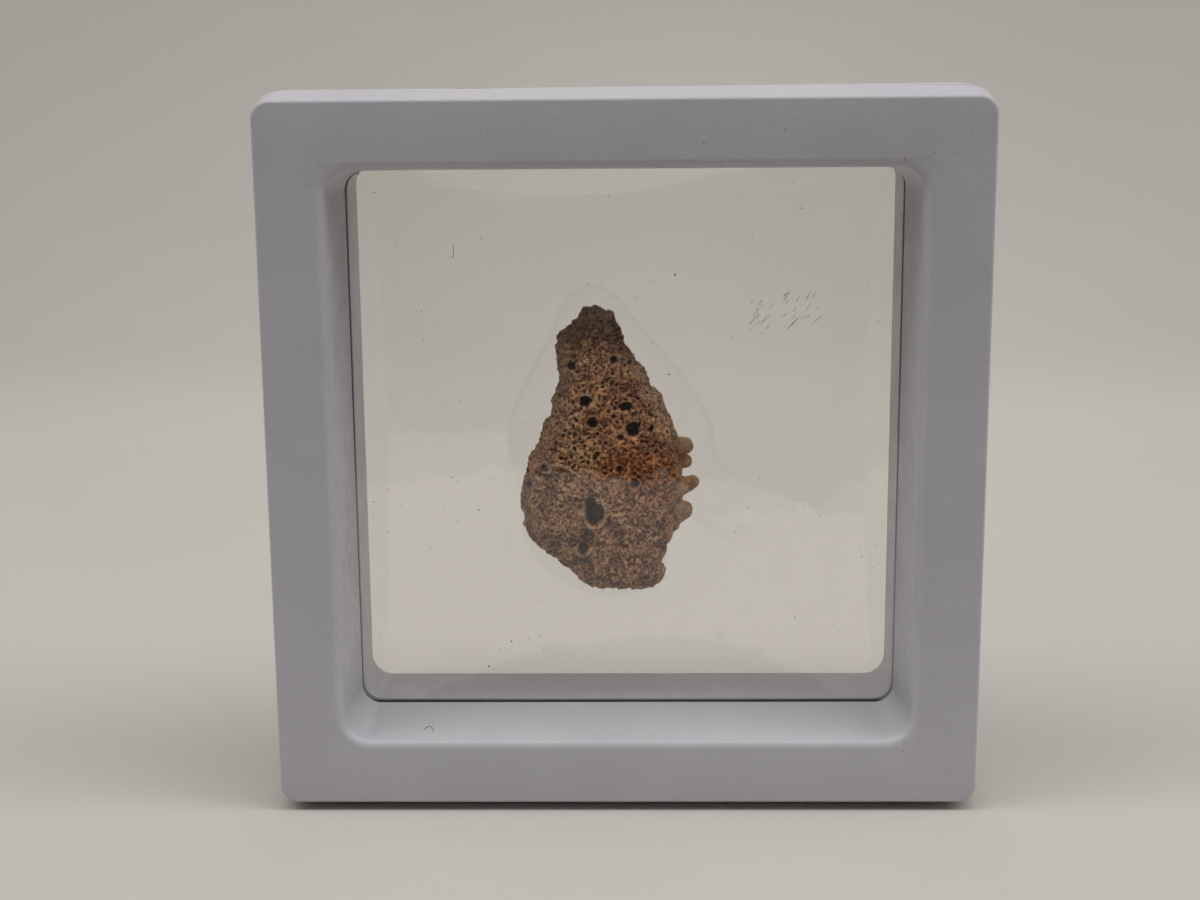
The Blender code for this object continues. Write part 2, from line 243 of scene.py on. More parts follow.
# ======================================================================
# materials
# ======================================================================
def plastic_material():
    n = Nodes("moulded_frame_plastic")
    at = n.coords()
    broad = n.noise(at, 0.09, 3.0)
    fine = n.noise(at, 2.2, 3.0)
    colour = n.mix(n.ramp(broad, 0.35, 0.65), (0.508, 0.500, 0.548), (0.528, 0.520, 0.566))
    colour = n.mix(n.ramp(fine, 0.50, 0.70, 0.0, 0.38), colour, (0.48, 0.46, 0.50))
    # handling grime in a few places, broken up by noise
    grime = n.noise(at, 0.8, 5.0, 0.65)
    left_wall = n.math('MULTIPLY', n.near(at, (-27.6, -3.0, 26.0), (1.4, 7.0, 19.0)), n.ramp(grime, 0.52, 0.66))
    colour = n.mix(n.math('MULTIPLY', left_wall, 0.42), colour, (0.20, 0.10, 0.06))
    top_line = n.math('MULTIPLY', n.near(at, (-12.3, 0.6, 70.0), (3.4, 1.6, 1.2)), n.ramp(grime, 0.45, 0.55))
    colour = n.mix(n.math('MULTIPLY', top_line, 0.75), colour, (0.16, 0.09, 0.03))
    specks = n.node("ShaderNodeTexVoronoi", feature='F1')
    n.link(at, specks.inputs["Vector"])
    specks.inputs["Scale"].default_value = 0.24
    dots = n.ramp(specks.outputs["Distance"], 0.035, 0.02)
    colour = n.mix(n.math('MULTIPLY', dots, 0.45), colour, (0.20, 0.14, 0.10))
    axes = n.axis(at)
    across = n.math('MAXIMUM', n.math('ABSOLUTE', axes[0]), n.math('ABSOLUTE', n.math('SUBTRACT', axes[2], 35.0)))
    # the glued ledge between the halves is dark with shade, except at the right
    ledge = n.math('MULTIPLY', n.ramp(across, 27.10, 27.25), n.ramp(across, 30.9, 30.7))
    ledge = n.math('MULTIPLY', ledge, n.ramp(n.math('ABSOLUTE', axes[1]), 0.66, 0.60))
    ledge = n.math('MULTIPLY', ledge, n.ramp(axes[0], 26.9, 26.0))
    colour = n.mix(ledge, colour, (0.045, 0.042, 0.055))
    n.link(colour, n.bsdf.inputs["Base Color"])
    wall = n.ramp(across, 28.6, 27.9)
    matt = n.ramp(n.noise(at, 0.5, 4.0), 0.3, 0.7, 0.50, 0.64)
    n.link(n.math('SUBTRACT', matt, n.math('MULTIPLY', wall, 0.18)), n.bsdf.inputs["Roughness"])
    n.bsdf.inputs["IOR"].default_value = 1.5
    # eroded-mould grain, and the slow waviness of a moulding
    grain = n.noise(at, 7.5, 4.0, 0.6)
    waves = n.noise(at, 0.16, 2.0)
    normal = n.bump(waves, 0.5, 0.25)
    leather = n.noise(at, 3.0, 3.0, 0.6)
    plain = n.math('SUBTRACT', 1.0, n.math('MULTIPLY', wall, 0.8))
    normal = n.bump(n.math('MULTIPLY', leather, plain), 0.50, 0.075, normal)
    normal = n.bump(n.math('MULTIPLY', grain, plain), 0.55, 0.035, normal)
    n.link(normal, n.bsdf.inputs["Normal"])
    return n.mat


def film_material(name, dust_and_ring_shade):
    n = Nodes(name)
    place = n.coords()
    if dust_and_ring_shade:
        # inside the ring the two films are apart, with the bone between them; outside it they cling together
        opened = n.attribute("opened")
        shown = n.attribute("shown")
        # painted shade: a darker line where the films part, and the parted films a little dimmer, for the light that
        # the fold and the gap turn away
        ring = n.math('MULTIPLY', n.ramp(opened, -0.22, 0.02), n.ramp(opened, 0.55, 0.10, 0.35, 1.0))
        parted = n.ramp(opened, -0.2, 0.1)
        colour = n.mix(parted, (0.992, 0.988, 0.979), (0.980, 0.976, 0.966))
        colour = n.mix(n.math('MULTIPLY', n.math('MULTIPLY', ring, shown), n.ramp(opened, 1.6, 0.1)), colour, (0.944, 0.940, 0.931))
        # fine dust in the surface
        axes = n.axis(place)
        flat = n.node("ShaderNodeCombineXYZ")
        n.link(axes[0], flat.inputs[0])
        n.link(axes[2], flat.inputs[1])
        dust = n.node("ShaderNodeTexVoronoi", feature='F1', voronoi_dimensions='2D')
        n.link(flat.outputs[0], dust.inputs["Vector"])
        dust.inputs["Scale"].default_value = 0.72
        kind = n.node("ShaderNodeSeparateColor")
        n.link(dust.outputs["Color"], kind.inputs[0])
        near = n.math('SUBTRACT', dust.outputs["Distance"], n.ramp(kind.outputs[1], 0.0, 1.0, 0.0, 0.030, smooth=False))
        thick = n.ramp(n.noise(place, 0.09, 2.0), 0.40, 0.60, 0.90, 0.66)
        picked = n.math('GREATER_THAN', kind.outputs[0], thick)
        grains = n.math('MULTIPLY', n.ramp(near, 0.040, 0.012), picked)
        colour = n.mix(n.math('MULTIPLY', grains, n.ramp(kind.outputs[2], 0.0, 1.0, 0.22, 0.70)), colour, (0.38, 0.32, 0.25))
    else:
        colour = n.mix(n.ramp(n.noise(place, 0.1, 2.0), 0.4, 0.6), (0.988, 0.984, 0.975), (0.984, 0.980, 0.970))
    n.link(colour, n.bsdf.inputs["Base Color"])
    n.bsdf.inputs["Transmission Weight"].default_value = 1.0
    n.bsdf.inputs["Roughness"].default_value = 0.0
    n.bsdf.inputs["IOR"].default_value = 1.5
    at = n.coords()
    # the film's faint unevenness
    n.link(n.bump(n.noise(at, 0.22, 2.0), 0.12, 0.25), n.bsdf.inputs["Normal"])
    path = n.node("ShaderNodeLightPath")
    clear = n.node("ShaderNodeBsdfTransparent")
    clear.inputs["Color"].default_value = (0.955, 0.950, 0.945, 1.0)
    mix = n.node("ShaderNodeMixShader")
    n.link(path.outputs["Is Shadow Ray"], mix.inputs["Fac"])
    n.link(n.bsdf.outputs[0], mix.inputs[1])
    n.link(clear.outputs[0], mix.inputs[2])
    n.link(mix.outputs[0], n.out.inputs["Surface"])
    return n.mat


def bone_material():
    n = Nodes("pitted_fossil_bone")
    at = n.attribute("rest", vector=True)      # position before the pits were sunk, mm
    pit = n.attribute("pit")
    crest_highlight = n.attribute("crest_highlight")
    cavity_shade = n.attribute("cavity_shade")
    rust = n.attribute("rust")
    grey = n.attribute("grey")
    smooth = n.attribute("smooth")
    pale = n.attribute("pale")
    dark = n.attribute("dark")
    lower = n.attribute("lower")
    broad = n.noise(at, 0.35, 3.0)
    patch = n.noise(at, 0.75, 5.0, 0.68, 0.4)
    mid = n.noise(at, 1.6, 4.0, 0.65)
    fine = n.noise(at, 4.6, 4.0, 0.68)
    crumb = n.noise(at, 11.0, 2.0, 0.6)
    # small hollows between the modelled ones: warped cells of unequal size with light threads between them
    bend = n.node("ShaderNodeVectorMath", operation='ADD')
    wander = n.node("ShaderNodeTexNoise")
    n.link(at, wander.inputs["Vector"])
    wander.inputs["Scale"].default_value = 2.4
    wander.inputs["Detail"].default_value = 3.0
    amount = n.node("ShaderNodeVectorMath", operation='SCALE')
    n.link(wander.outputs["Color"], amount.inputs[0])
    amount.inputs["Scale"].default_value = 1.25
    n.link(at, bend.inputs[0])
    n.link(amount.outputs[0], bend.inputs[1])
    cells = n.node("ShaderNodeTexVoronoi", feature='F1')
    walls = n.node("ShaderNodeTexVoronoi", feature='DISTANCE_TO_EDGE')
    for texture in (cells, walls):
        n.link(bend.outputs[0], texture.inputs["Vector"])
        texture.inputs["Scale"].default_value = 2.5
    parts = n.node("ShaderNodeSeparateColor")
    n.link(cells.outputs["Color"], parts.inputs[0])
    # they come in swarms, with quieter bone between
    swarm = n.ramp(n.noise(at, 1.15, 3.0, 0.6, 0.5), 0.44, 0.58)
    small = n.math('MULTIPLY', n.ramp(walls.outputs["Distance"], 0.03, 0.22), n.ramp(parts.outputs[0], 0.35, 0.80))
    small = n.math('MULTIPLY', small, n.ramp(swarm, 0.0, 1.0, 0.22, 1.0))
    thread = n.math('MULTIPLY', n.ramp(walls.outputs["Distance"], 0.09, 0.01), n.ramp(fine, 0.42, 0.58, 0.0, 0.6))
    # base tans
    tan = n.mix(n.ramp(mid, 0.38, 0.62), (0.74, 0.275, 0.090), (1.00, 0.480, 0.195))
    tan = n.mix(n.ramp(broad, 0.40, 0.60, 0.0, 0.5), tan, (0.72, 0.345, 0.170))
    tan = n.mix(n.math('MULTIPLY', n.attribute("gold"), n.ramp(mid, 0.30, 0.55, 0.30, 0.8)), tan, (0.93, 0.430, 0.125))
    tan = n.mix(n.math('MULTIPLY', rust, n.ramp(mid, 0.30, 0.60, 0.55, 1.0)), tan, (0.66, 0.150, 0.020))
    margin = n.mix(n.ramp(fine, 0.35, 0.65), (0.46, 0.215, 0.130), (0.80, 0.470, 0.300))
    tan = n.mix(n.math('MULTIPLY', grey, 0.80), tan, margin)
    tan = n.mix(smooth, tan, n.mix(n.ramp(mid, 0.36, 0.64), (0.90, 0.490, 0.225), (1.00, 0.680, 0.370)))
    light = n.mix(n.ramp(crumb, 0.38, 0.62), (0.96, 0.570, 0.290), (1.00, 0.820, 0.560))
    # painted highlight on the ridge tops and on the threads between the small hollows, where the light from above
    # falls; with it come pale flecks of the bone
    lit = n.math('MAXIMUM', n.math('MULTIPLY', n.ramp(crest_highlight, 0.12, 0.75), n.ramp(fine, 0.34, 0.50)), n.math('MAXIMUM', thread, n.math('MULTIPLY', n.ramp(fine, 0.43, 0.37), 0.75)))
    lit = n.math('MULTIPLY', lit, n.ramp(grey, 0.0, 1.0, 0.95, 0.60))
    tan = n.mix(lit, tan, n.mix(n.math('MULTIPLY', rust, 0.75), light, (0.92, 0.36, 0.09)))
    tan = n.mix(n.math('MULTIPLY', lower, 0.30), tan, (0.97, 0.590, 0.360))
    # brown mineral stain that wanders over ridges and pits alike, in patches a millimetre or two across
    clot = n.math('MAXIMUM', n.ramp(patch, 0.498, 0.540), n.math('MULTIPLY', n.ramp(n.noise(at, 1.35, 4.0, 0.7, 0.6), 0.525, 0.580), 0.85))
    clot = n.math('MULTIPLY', clot, n.ramp(lower, 0.0, 1.0, 0.74, 0.90))
    clot = n.math('MULTIPLY', clot, n.ramp(lit, 0.0, 1.0, 1.0, 0.50))
    tan = n.mix(n.math('MULTIPLY', clot, n.ramp(smooth, 0.0, 1.0, 1.0, 0.32)), tan, (0.150, 0.042, 0.028))
    stain = n.math('MULTIPLY', n.ramp(fine, 0.508, 0.550), n.ramp(lit, 0.0, 1.0, 1.0, 0.45))
    tan = n.mix(n.math('MULTIPLY', stain, n.ramp(smooth, 0.0, 1.0, 0.86, 0.28)), tan, (0.115, 0.030, 0.013))
    tan = n.mix(n.math('MULTIPLY', small, n.ramp(smooth, 0.0, 1.0, 0.80, 0.15)), tan, (0.085, 0.021, 0.008))
    # paler patches and lines; on the raised lines and the top projection this is painted highlight
    tan = n.mix(pale, tan, (0.97, 0.680, 0.480))
    deep = n.mix(n.math('MULTIPLY', rust, 0.7), (0.058, 0.016, 0.006), (0.170, 0.024, 0.003))
    # the pits' dark colour, with painted shade added where the surface is hollow
    jitter = n.math('ADD', n.math('MAXIMUM', pit, n.math('MULTIPLY', cavity_shade, 0.55)), n.ramp(fine, 0.3, 0.7, -0.32, 0.32, smooth=False))
    tan = n.mix(n.ramp(jitter, 0.28, 0.85), tan, deep)
    # painted shade in the blood-vessel openings
    tan = n.mix(dark, tan, (0.075, 0.034, 0.026))
    n.link(tan, n.bsdf.inputs["Base Color"])
    n.link(n.ramp(crumb, 0.3, 0.7, 0.74, 0.94), n.bsdf.inputs["Roughness"])
    n.bsdf.inputs["IOR"].default_value = 1.38
    low = n.math('SUBTRACT', fine, n.math('MULTIPLY', small, 0.6))
    normal = n.bump(low, 1.0, 0.21)
    normal = n.bump(crumb, 0.8, 0.06, normal)
    n.link(normal, n.bsdf.inputs["Normal"])
    return n.mat


def speck_material(name, colour, rough=0.8, clear=0.0):
    n = Nodes(name)
    at = n.coords()
    n.link(n.mix(n.ramp(n.noise(at, 6.0, 2.0), 0.35, 0.65), colour, tuple(min(1.0, c * 1.9 + 0.01) for c in colour)),
           n.bsdf.inputs["Base Color"])
    n.bsdf.inputs["Roughness"].default_value = rough
    n.bsdf.inputs["Transmission Weight"].default_value = clear
    return n.mat


PLASTIC = plastic_material()
FILM_FRONT = film_material("clear_elastic_film_front", True)
FILM_REAR = film_material("clear_elastic_film_rear", False)
BONE = bone_material()
DUST = speck_material("brown_dust", (0.16, 0.11, 0.075))
LINT = speck_material("pale_scuff", (0.93, 0.92, 0.90), rough=0.25, clear=0.92)
EARTH = speck_material("seam_earth", (0.22, 0.095, 0.030))


# ======================================================================
# frame halves: the same mouldings as the CAD, with their roundings finer
# ======================================================================
HALF_SIZE, HALF_DEPTH, FACE_HALF, LAND_DEPTH = 35.0, 10.0, 34.13, 3.0
OUTER_CORNER, EDGE_ROUND = 2.6, 0.32
OPENING_FACE, OPENING_BACK, OPENING_PARTING, OPENING_CORNER, OPENING_ROUND = 27.7, 27.35, 27.05, 1.9, 0.85
SEAT_HALF, SEAT_DEPTH, PARTING_GAP = 30.6, 0.55, 0.07
PEG_PLACE, PEG_RADIUS, PEG_LENGTH = 32.25, 1.1, 4.0
CORNER_STEPS = 20


def rounded_square(half, radius, steps=CORNER_STEPS):
    points = []
    centre = half - radius
    for quarter in range(4):
        cx = centre if quarter in (0, 3) else -centre
        cz = centre if quarter in (0, 1) else -centre
        for k in range(steps + 1):
            a = math.radians(90 * quarter + 90 * k / steps)
            points.append((cx + radius * math.cos(a), cz + radius * math.sin(a)))
    return points


def half_section(opening):
    """Closed section of one half's rim: (half width, distance from the parting plane, corner radius)."""
    inner_centre = OPENING_PARTING - OPENING_CORNER
    outer_centre = HALF_SIZE - OUTER_CORNER
    section = []

    def inner(half, depth):
        section.append((half, depth, half - inner_centre))

    def outer(half, depth):
        section.append((half, depth, half - outer_centre))

    inner(OPENING_PARTING, SEAT_DEPTH + 0.12)
    inner(OPENING_PARTING + 0.05, SEAT_DEPTH + 0.04)
    inner(OPENING_PARTING + 0.12, SEAT_DEPTH)
    inner(SEAT_HALF, SEAT_DEPTH)
    inner(SEAT_HALF, PARTING_GAP)
    outer(HALF_SIZE - 0.30, PARTING_GAP)
    for k in range(1, 5):
        a = math.radians(90 * k / 4)
        outer(HALF_SIZE - 0.22 + 0.22 * math.sin(a), PARTING_GAP + 0.22 - 0.22 * math.cos(a))
    outer(HALF_SIZE, LAND_DEPTH - 0.5)
    outer(HALF_SIZE - 0.012, LAND_DEPTH)
    outer(HALF_SIZE - 0.07, LAND_DEPTH + 0.6)
    steps = 9
    start = math.degrees(math.atan2(0.72, 6.4))
    for k in range(steps + 1):
        a = math.radians(start + (90 - start) * k / steps)
        outer(FACE_HALF - EDGE_ROUND + EDGE_ROUND * math.cos(a), HALF_DEPTH - EDGE_ROUND + EDGE_ROUND * math.sin(a))
    for k in range(steps + 1):
        a = math.radians(90 * k / steps)
        inner(opening + OPENING_ROUND - OPENING_ROUND * math.sin(a),
              HALF_DEPTH - OPENING_ROUND + OPENING_ROUND * math.cos(a))
    return section


def frame_half(name, node, side):
    verts, faces = [], []
    section = half_section(OPENING_FACE if side < 0 else OPENING_BACK)
    count = None
    for half, depth, radius in section:
        loop = rounded_square(half, radius)
        count = len(loop)
        for x, z in loop:
            verts.append((x, side * depth, z + CENTRE_Z))
    rings = len(section)
    for r in range(rings):
        q = (r + 1) % rings
        for i in range(count):
            j = (i + 1) % count
            faces.append((r * count + i, r * count + j, q * count + j, q * count + i))
    if side < 0:
        for sx in (-1, 1):
            for sz in (-1, 1):
                base = len(verts)
                sides = 24
                for y, r in ((-1.4, PEG_RADIUS), (PEG_LENGTH - 0.3, PEG_RADIUS), (PEG_LENGTH, PEG_RADIUS - 0.3)):
                    for k in range(sides):
                        a = 2 * math.pi * k / sides
                        verts.append((sx * PEG_PLACE + r * math.cos(a), y, CENTRE_Z + sz * PEG_PLACE + r * math.sin(a)))
                for ring in range(2):
                    for k in range(sides):
                        m = (k + 1) % sides
                        faces.append((base + ring * sides + k, base + ring * sides + m,
                                      base + (ring + 1) * sides + m, base + (ring + 1) * sides + k))
                faces.append(tuple(base + k for k in range(sides)))
                faces.append(tuple(base + 2 * sides + k for k in range(sides)))
    verts = np.array(verts)
    # the upper strip stands a quarter millimetre lower than the nominal size
    verts[:, 2] -= 0.25 * step(69.25, 70.0, verts[:, 2])
    if side > 0:
        # the rear half sits a hair askew on the front one: it shows above it at the right
        verts[:, 2] += 0.0046 * (verts[:, 0] - 4.0) * np.clip((verts[:, 2] - 35.0) / 34.0, -0.1, 1.0)
    obj = link_mesh(name, verts * MM, faces, PLASTIC, sharp=30)
    outward(obj)
    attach(obj, "root")
    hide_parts(node)
    return obj


frame_half("frame_half_front", "frame_front", -1)
frame_half("frame_half_rear", "frame_rear", +1)


# ======================================================================
# the bone
# ======================================================================
# Its edge as seen from the front (x, z), clockwise from the tip, without the projections
OUTLINE = (
    (-3.13, 48.70), (-2.76, 48.60), (-2.44, 48.36), (-2.07, 48.15), (-1.66, 48.07), (-1.30, 47.85), (-1.11, 47.49),
    (-0.96, 47.09), (-0.79, 46.71), (-0.60, 46.34), (-0.43, 45.95), (-0.29, 45.56), (-0.21, 45.15), (-0.04, 44.79),
    (0.28, 44.51), (0.55, 44.19), (0.74, 43.82), (0.91, 43.43), (1.10, 43.06), (1.43, 42.81), (1.72, 42.51),
    (1.93, 42.14), (2.16, 41.79), (2.34, 41.41), (2.34, 40.99), (2.46, 40.59), (2.85, 40.44), (3.21, 40.27),
    (3.50, 39.97), (3.63, 39.57), (3.80, 39.18), (3.95, 38.79), (3.99, 38.38), (4.05, 37.97), (4.28, 37.62),
    (4.53, 37.28), (4.61, 36.87), (4.74, 36.48), (5.00, 36.16), (5.03, 35.74), (4.90, 35.2), (4.88, 34.6),
    (4.95, 34.0), (5.08, 33.3), (5.20, 32.6), (5.26, 31.9), (5.28, 31.2), (5.24, 30.5), (5.15, 29.8), (5.00, 29.1),
    (4.86, 28.4), (4.76, 27.7), (4.70, 27.0), (4.62, 26.3), (4.52, 25.65), (4.30, 25.1), (4.10, 24.7), (4.03, 24.41),
    (4.00, 24.00), (3.85, 23.60), (3.64, 23.24), (3.44, 22.87), (3.52, 22.49), (3.85, 22.23), (3.85, 21.83),
    (3.72, 21.43), (3.55, 21.05), (3.31, 20.71), (2.97, 20.47), (2.59, 20.33), (2.19, 20.22), (1.85, 20.15),
    (1.02, 20.12), (0.60, 20.14), (0.20, 20.19), (-0.21, 20.13), (-0.63, 20.14), (-1.03, 20.20), (-1.43, 20.26),
    (-1.83, 20.22), (-2.23, 20.28), (-2.62, 20.31), (-3.02, 20.40), (-3.43, 20.43), (-3.80, 20.58), (-4.14, 20.80),
    (-4.54, 20.87), (-4.85, 21.13), (-5.01, 21.52), (-5.37, 21.72), (-5.63, 22.03), (-5.91, 22.34), (-6.26, 22.58),
    (-6.57, 22.86), (-6.81, 23.20), (-7.07, 23.53), (-7.39, 23.78), (-7.81, 23.76), (-8.16, 23.99), (-8.38, 24.34),
    (-8.74, 24.54), (-9.07, 24.78), (-9.33, 25.08), (-9.58, 25.42), (-9.80, 25.77), (-9.94, 26.16), (-10.17, 26.51),
    (-10.31, 26.90), (-10.14, 27.28), (-10.19, 27.66), (-10.29, 28.06), (-10.46, 28.43), (-10.54, 28.83),
    (-10.51, 29.24), (-10.51, 29.66), (-10.43, 30.07), (-10.33, 30.47), (-10.32, 30.89), (-10.24, 31.31),
    (-10.11, 31.71), (-9.96, 32.09), (-9.89, 32.51), (-9.77, 32.91), (-9.64, 33.31), (-9.51, 33.71), (-9.28, 34.06),
    (-9.03, 34.40), (-8.79, 34.74), (-8.65, 35.13), (-8.53, 35.53), (-8.44, 35.93), (-8.33, 36.33), (-8.21, 36.74),
    (-8.00, 37.10), (-7.74, 37.43), (-7.46, 37.74), (-7.28, 38.12), (-7.22, 38.53), (-7.17, 38.95), (-7.31, 39.34),
    (-7.12, 39.70), (-6.90, 40.02), (-6.89, 40.44), (-6.73, 40.82), (-6.51, 41.17), (-6.44, 41.59), (-6.56, 41.98),
    (-6.67, 42.38), (-6.71, 42.80), (-6.76, 43.21), (-6.72, 43.63), (-6.78, 44.04), (-6.86, 44.45), (-6.72, 44.84),
    (-6.65, 45.26), (-6.63, 45.68), (-6.40, 46.02), (-6.09, 46.30), (-5.72, 46.48), (-5.49, 46.82), (-5.12, 46.97),
    (-4.86, 47.30), (-4.51, 47.54), (-4.33, 47.91), (-4.22, 48.31), (-3.86, 48.39), (-3.46, 48.50),
)
# Middle line of the plate, and how far its front and back stand off the parting plane there
SPINE = (  # z, x, front, back
    (19.0, -1.6, 3.5, 2.5), (23.6, -1.9, 3.85, 2.85), (27.0, -2.6, 4.15, 3.05), (30.0, -2.6, 4.30, 3.15),
    (33.0, -2.2, 4.22, 3.1), (36.0, -1.8, 4.05, 2.95), (39.0, -1.75, 3.72, 2.6), (42.0, -2.4, 3.25, 2.25),
    (44.0, -3.1, 2.60, 2.0), (46.4, -3.2, 1.90, 1.7), (49.0, -3.1, 1.2, 1.3),
)
SPINE_LOW, SPINE_HIGH = 23.6, 46.4
LEAN = 0.45
# Projections: chains of (x, depth y, z, radius)
FINGERS = (
    ((3.6, 0.3, 34.7, 0.80), (4.6, 0.4, 34.55, 0.82), (5.3, 0.45, 34.50, 0.86), (5.90, 0.45, 34.52, 0.88)),
    ((3.9, 0.8, 33.0, 0.78), (4.8, 0.9, 32.90, 0.78), (5.95, 0.95, 32.83, 0.73)),
    ((4.3, 0.6, 31.75, 0.75), (5.08, 0.7, 31.78, 0.62)),
    ((3.8, 0.3, 30.2, 1.20), (5.0, 0.4, 30.30, 1.12), (5.8, 0.45, 30.50, 0.96), (6.62, 0.50, 30.74, 0.74)),
    ((4.2, 0.6, 29.35, 0.80), (5.02, 0.65, 29.38, 0.70)),
    ((3.6, 0.5, 28.2, 1.25), (4.9, 0.6, 28.0, 1.10), (5.84, 0.65, 27.98, 0.82)),
    ((3.4, 0.6, 27.0, 1.25), (4.8, 0.7, 27.2, 1.05), (5.85, 0.75, 27.55, 0.74)),
    ((3.3, 0.5, 26.2, 1.10), (4.2, 0.6, 26.1, 0.86), (4.75, 0.65, 26.35, 0.66)),
)
# Blood-vessel openings in the front: x, z, radius across, radius up, depth, how dark their painted shade is (0 to 1)
VESSELS = (
    (-5.20, 43.14, 0.37, 0.36, 0.75, 0.9), (-1.16, 43.68, 0.33, 0.38, 0.70, 0.9), (-0.08, 43.15, 0.19, 0.17, 0.40, 0.8),
    (0.43, 43.35, 0.17, 0.19, 0.40, 0.8), (-2.23, 41.61, 0.18, 0.20, 0.35, 0.5), (-3.88, 39.82, 0.50, 0.52, 1.30, 1.0),
    (0.02, 39.28, 0.62, 0.44, 1.20, 1.0), (-1.64, 38.90, 0.19, 0.18, 0.35, 0.5), (-3.20, 37.78, 0.46, 0.46, 1.10, 1.0),
    (2.57, 37.05, 0.21, 0.34, 0.60, 0.9), (0.72, 36.98, 0.64, 0.64, 1.50, 1.0), (-0.47, 36.28, 0.31, 0.28, 0.60, 0.9),
    (-2.78, 36.71, 0.18, 0.17, 0.35, 0.7), (-0.60, 33.14, 0.31, 0.30, 0.70, 1.0), (-7.98, 33.05, 0.37, 0.36, 0.55, 0.7),
    (-9.58, 31.12, 0.26, 0.30, 0.45, 0.8), (0.88, 31.64, 0.40, 0.42, 0.70, 0.7), (-3.48, 29.72, 0.54, 0.50, 0.95, 0.85),
    (-3.05, 28.52, 0.80, 1.08, 1.90, 1.0), (-6.36, 29.33, 0.22, 0.20, 0.35, 0.7), (-4.23, 24.90, 0.48, 0.60, 0.95, 0.8),
    (3.87, 32.06, 0.15, 0.15, 0.30, 0.9), (3.35, 29.19, 0.24, 0.12, 0.30, 0.9), (-5.70, 32.83, 0.13, 0.13, 0.25, 0.8),
    (2.11, 27.17, 0.29, 0.27, 0.35, 0.4), (2.72, 26.20, 0.33, 0.30, 0.35, 0.4), (-4.01, 36.61, 0.22, 0.20, 0.30, 0.2),
    (1.62, 30.55, 0.26, 0.23, 0.30, 0.5), (-4.35, 25.95, 1.25, 1.20, 0.30, 0.15), (-1.55, 29.80, 0.20, 0.20, 0.25, 0.4), (-3.85, 26.20, 0.60, 0.45, 0.35, 0.25),
)
# Thin raised lines in the surface: points (x, z), height, width, paleness (a painted highlight along the line)
WELTS = (
    (((-6.6, 33.6), (-5.6, 33.15), (-4.6, 32.5), (-3.9, 31.9), (-3.2, 31.3), (-2.6, 30.7), (-2.25, 30.0), (-2.1, 29.2),
      (-2.05, 28.3), (-2.3, 27.4)), 0.08, 0.12, 0.38),
    (((-3.7, 32.6), (-2.7, 32.3), (-1.6, 31.9), (-0.7, 31.4)), 0.05, 0.50, 0.42),
    (((4.75, 34.0), (5.05, 32.6), (5.1, 31.2), (4.95, 29.8), (4.65, 28.4), (4.5, 26.9), (4.2, 25.4)), 0.15, 0.17, 0.50),
)
CRACKS = (
    (((-0.3, 46.05), (-0.9, 45.98), (-1.5, 46.0), (-2.0, 45.9)), 0.05, 0.06),
)


def table_at(table, z, column):
    table = np.array(table, float)
    return np.interp(z, table[:, 0], table[:, column])


def plate_mesh():
    """The plate's body as rings that run in from its edge to its middle line, front and back."""
    outline = np.array(OUTLINE)
    count = len(outline)
    zq = np.clip(outline[:, 1], SPINE_LOW, SPINE_HIGH)
    spine = np.c_[table_at(SPINE, zq, 1), zq]
    rings = 26
    verts, faces = [tuple((x, 0.0, z)) for x, z in outline], []
    for side in (-1, 1):
        previous = list(range(count))
        for r in range(1, rings + 1):
            t = (r / rings) ** 1.7 * 1.02
            at = outline + (spine - outline) * t
            full = table_at(SPINE, at[:, 1], 2 if side < 0 else 3)
            fullness = 2.4 if side < 0 else 2.2
            y = full * (1 - np.clip(1 - t, 0, 1) ** fullness) ** (1 / fullness)
            if side > 0:
                # the back is dished, as the side that lay against the body is
                y = y - 0.9 * step(0.25, 0.95, t) * step(21.5, 27.0, at[:, 1]) * step(44.0, 37.0, at[:, 1])
            # the plate leans: its upper left stands nearer to the viewer
            lean = LEAN * np.tanh((at[:, 1] - 33.0) / 6.0) * step(6.0, -6.0, at[:, 0]) * step(0.0, 0.35, t)
            current = list(range(len(verts), len(verts) + count))
            verts += [(float(p[0]), side * float(d) - float(m), float(p[1])) for p, d, m in zip(at, y, lean)]
            for i in range(count):
                j = (i + 1) % count
                faces.append((previous[i], previous[j], current[j], current[i]))
            previous = current
    return verts, faces


def chain_mesh(chain, verts, faces, sides=20):
    """A rounded bar through the chain's centres."""
    fine = []
    for a, b in zip(chain, chain[1:]):
        for k in range(4):
            fine.append(np.array(a) + (np.array(b) - np.array(a)) * k / 4)
    fine.append(np.array(chain[-1], float))
    along = np.array(chain[-1][:3], float) - np.array(chain[-2][:3], float)
    along /= np.linalg.norm(along)
    stations = [(p[:3], p[3]) for p in fine]
    for k in range(1, 7):
        a = math.radians(90 * k / 6.25)
        stations.append((fine[-1][:3] + along * fine[-1][3] * math.sin(a), fine[-1][3] * math.cos(a)))
    back = np.array(chain[0][:3], float) - np.array(chain[1][:3], float)
    back /= np.linalg.norm(back)
    stations.insert(0, (fine[0][:3] + back * fine[0][3] * 0.8, fine[0][3] * 0.4))
    across = np.cross(along, (0, 1, 0))
    across /= np.linalg.norm(across)
    up = np.cross(across, along)
    base = len(verts)
    for centre, r in stations:
        for k in range(sides):
            a = 2 * math.pi * k / sides
            p = centre + (across * math.cos(a) + up * 0.85 * math.sin(a)) * r
            verts.append(tuple(float(c) for c in p))
    for s in range(len(stations) - 1):
        for k in range(sides):
            m = (k + 1) % sides
            faces.append((base + s * sides + k, base + s * sides + m, base + (s + 1) * sides + m, base + (s + 1) * sides + k))
    faces.append(tuple(base + k for k in range(sides)))
    faces.append(tuple(base + (len(stations) - 1) * sides + k for k in range(sides)))


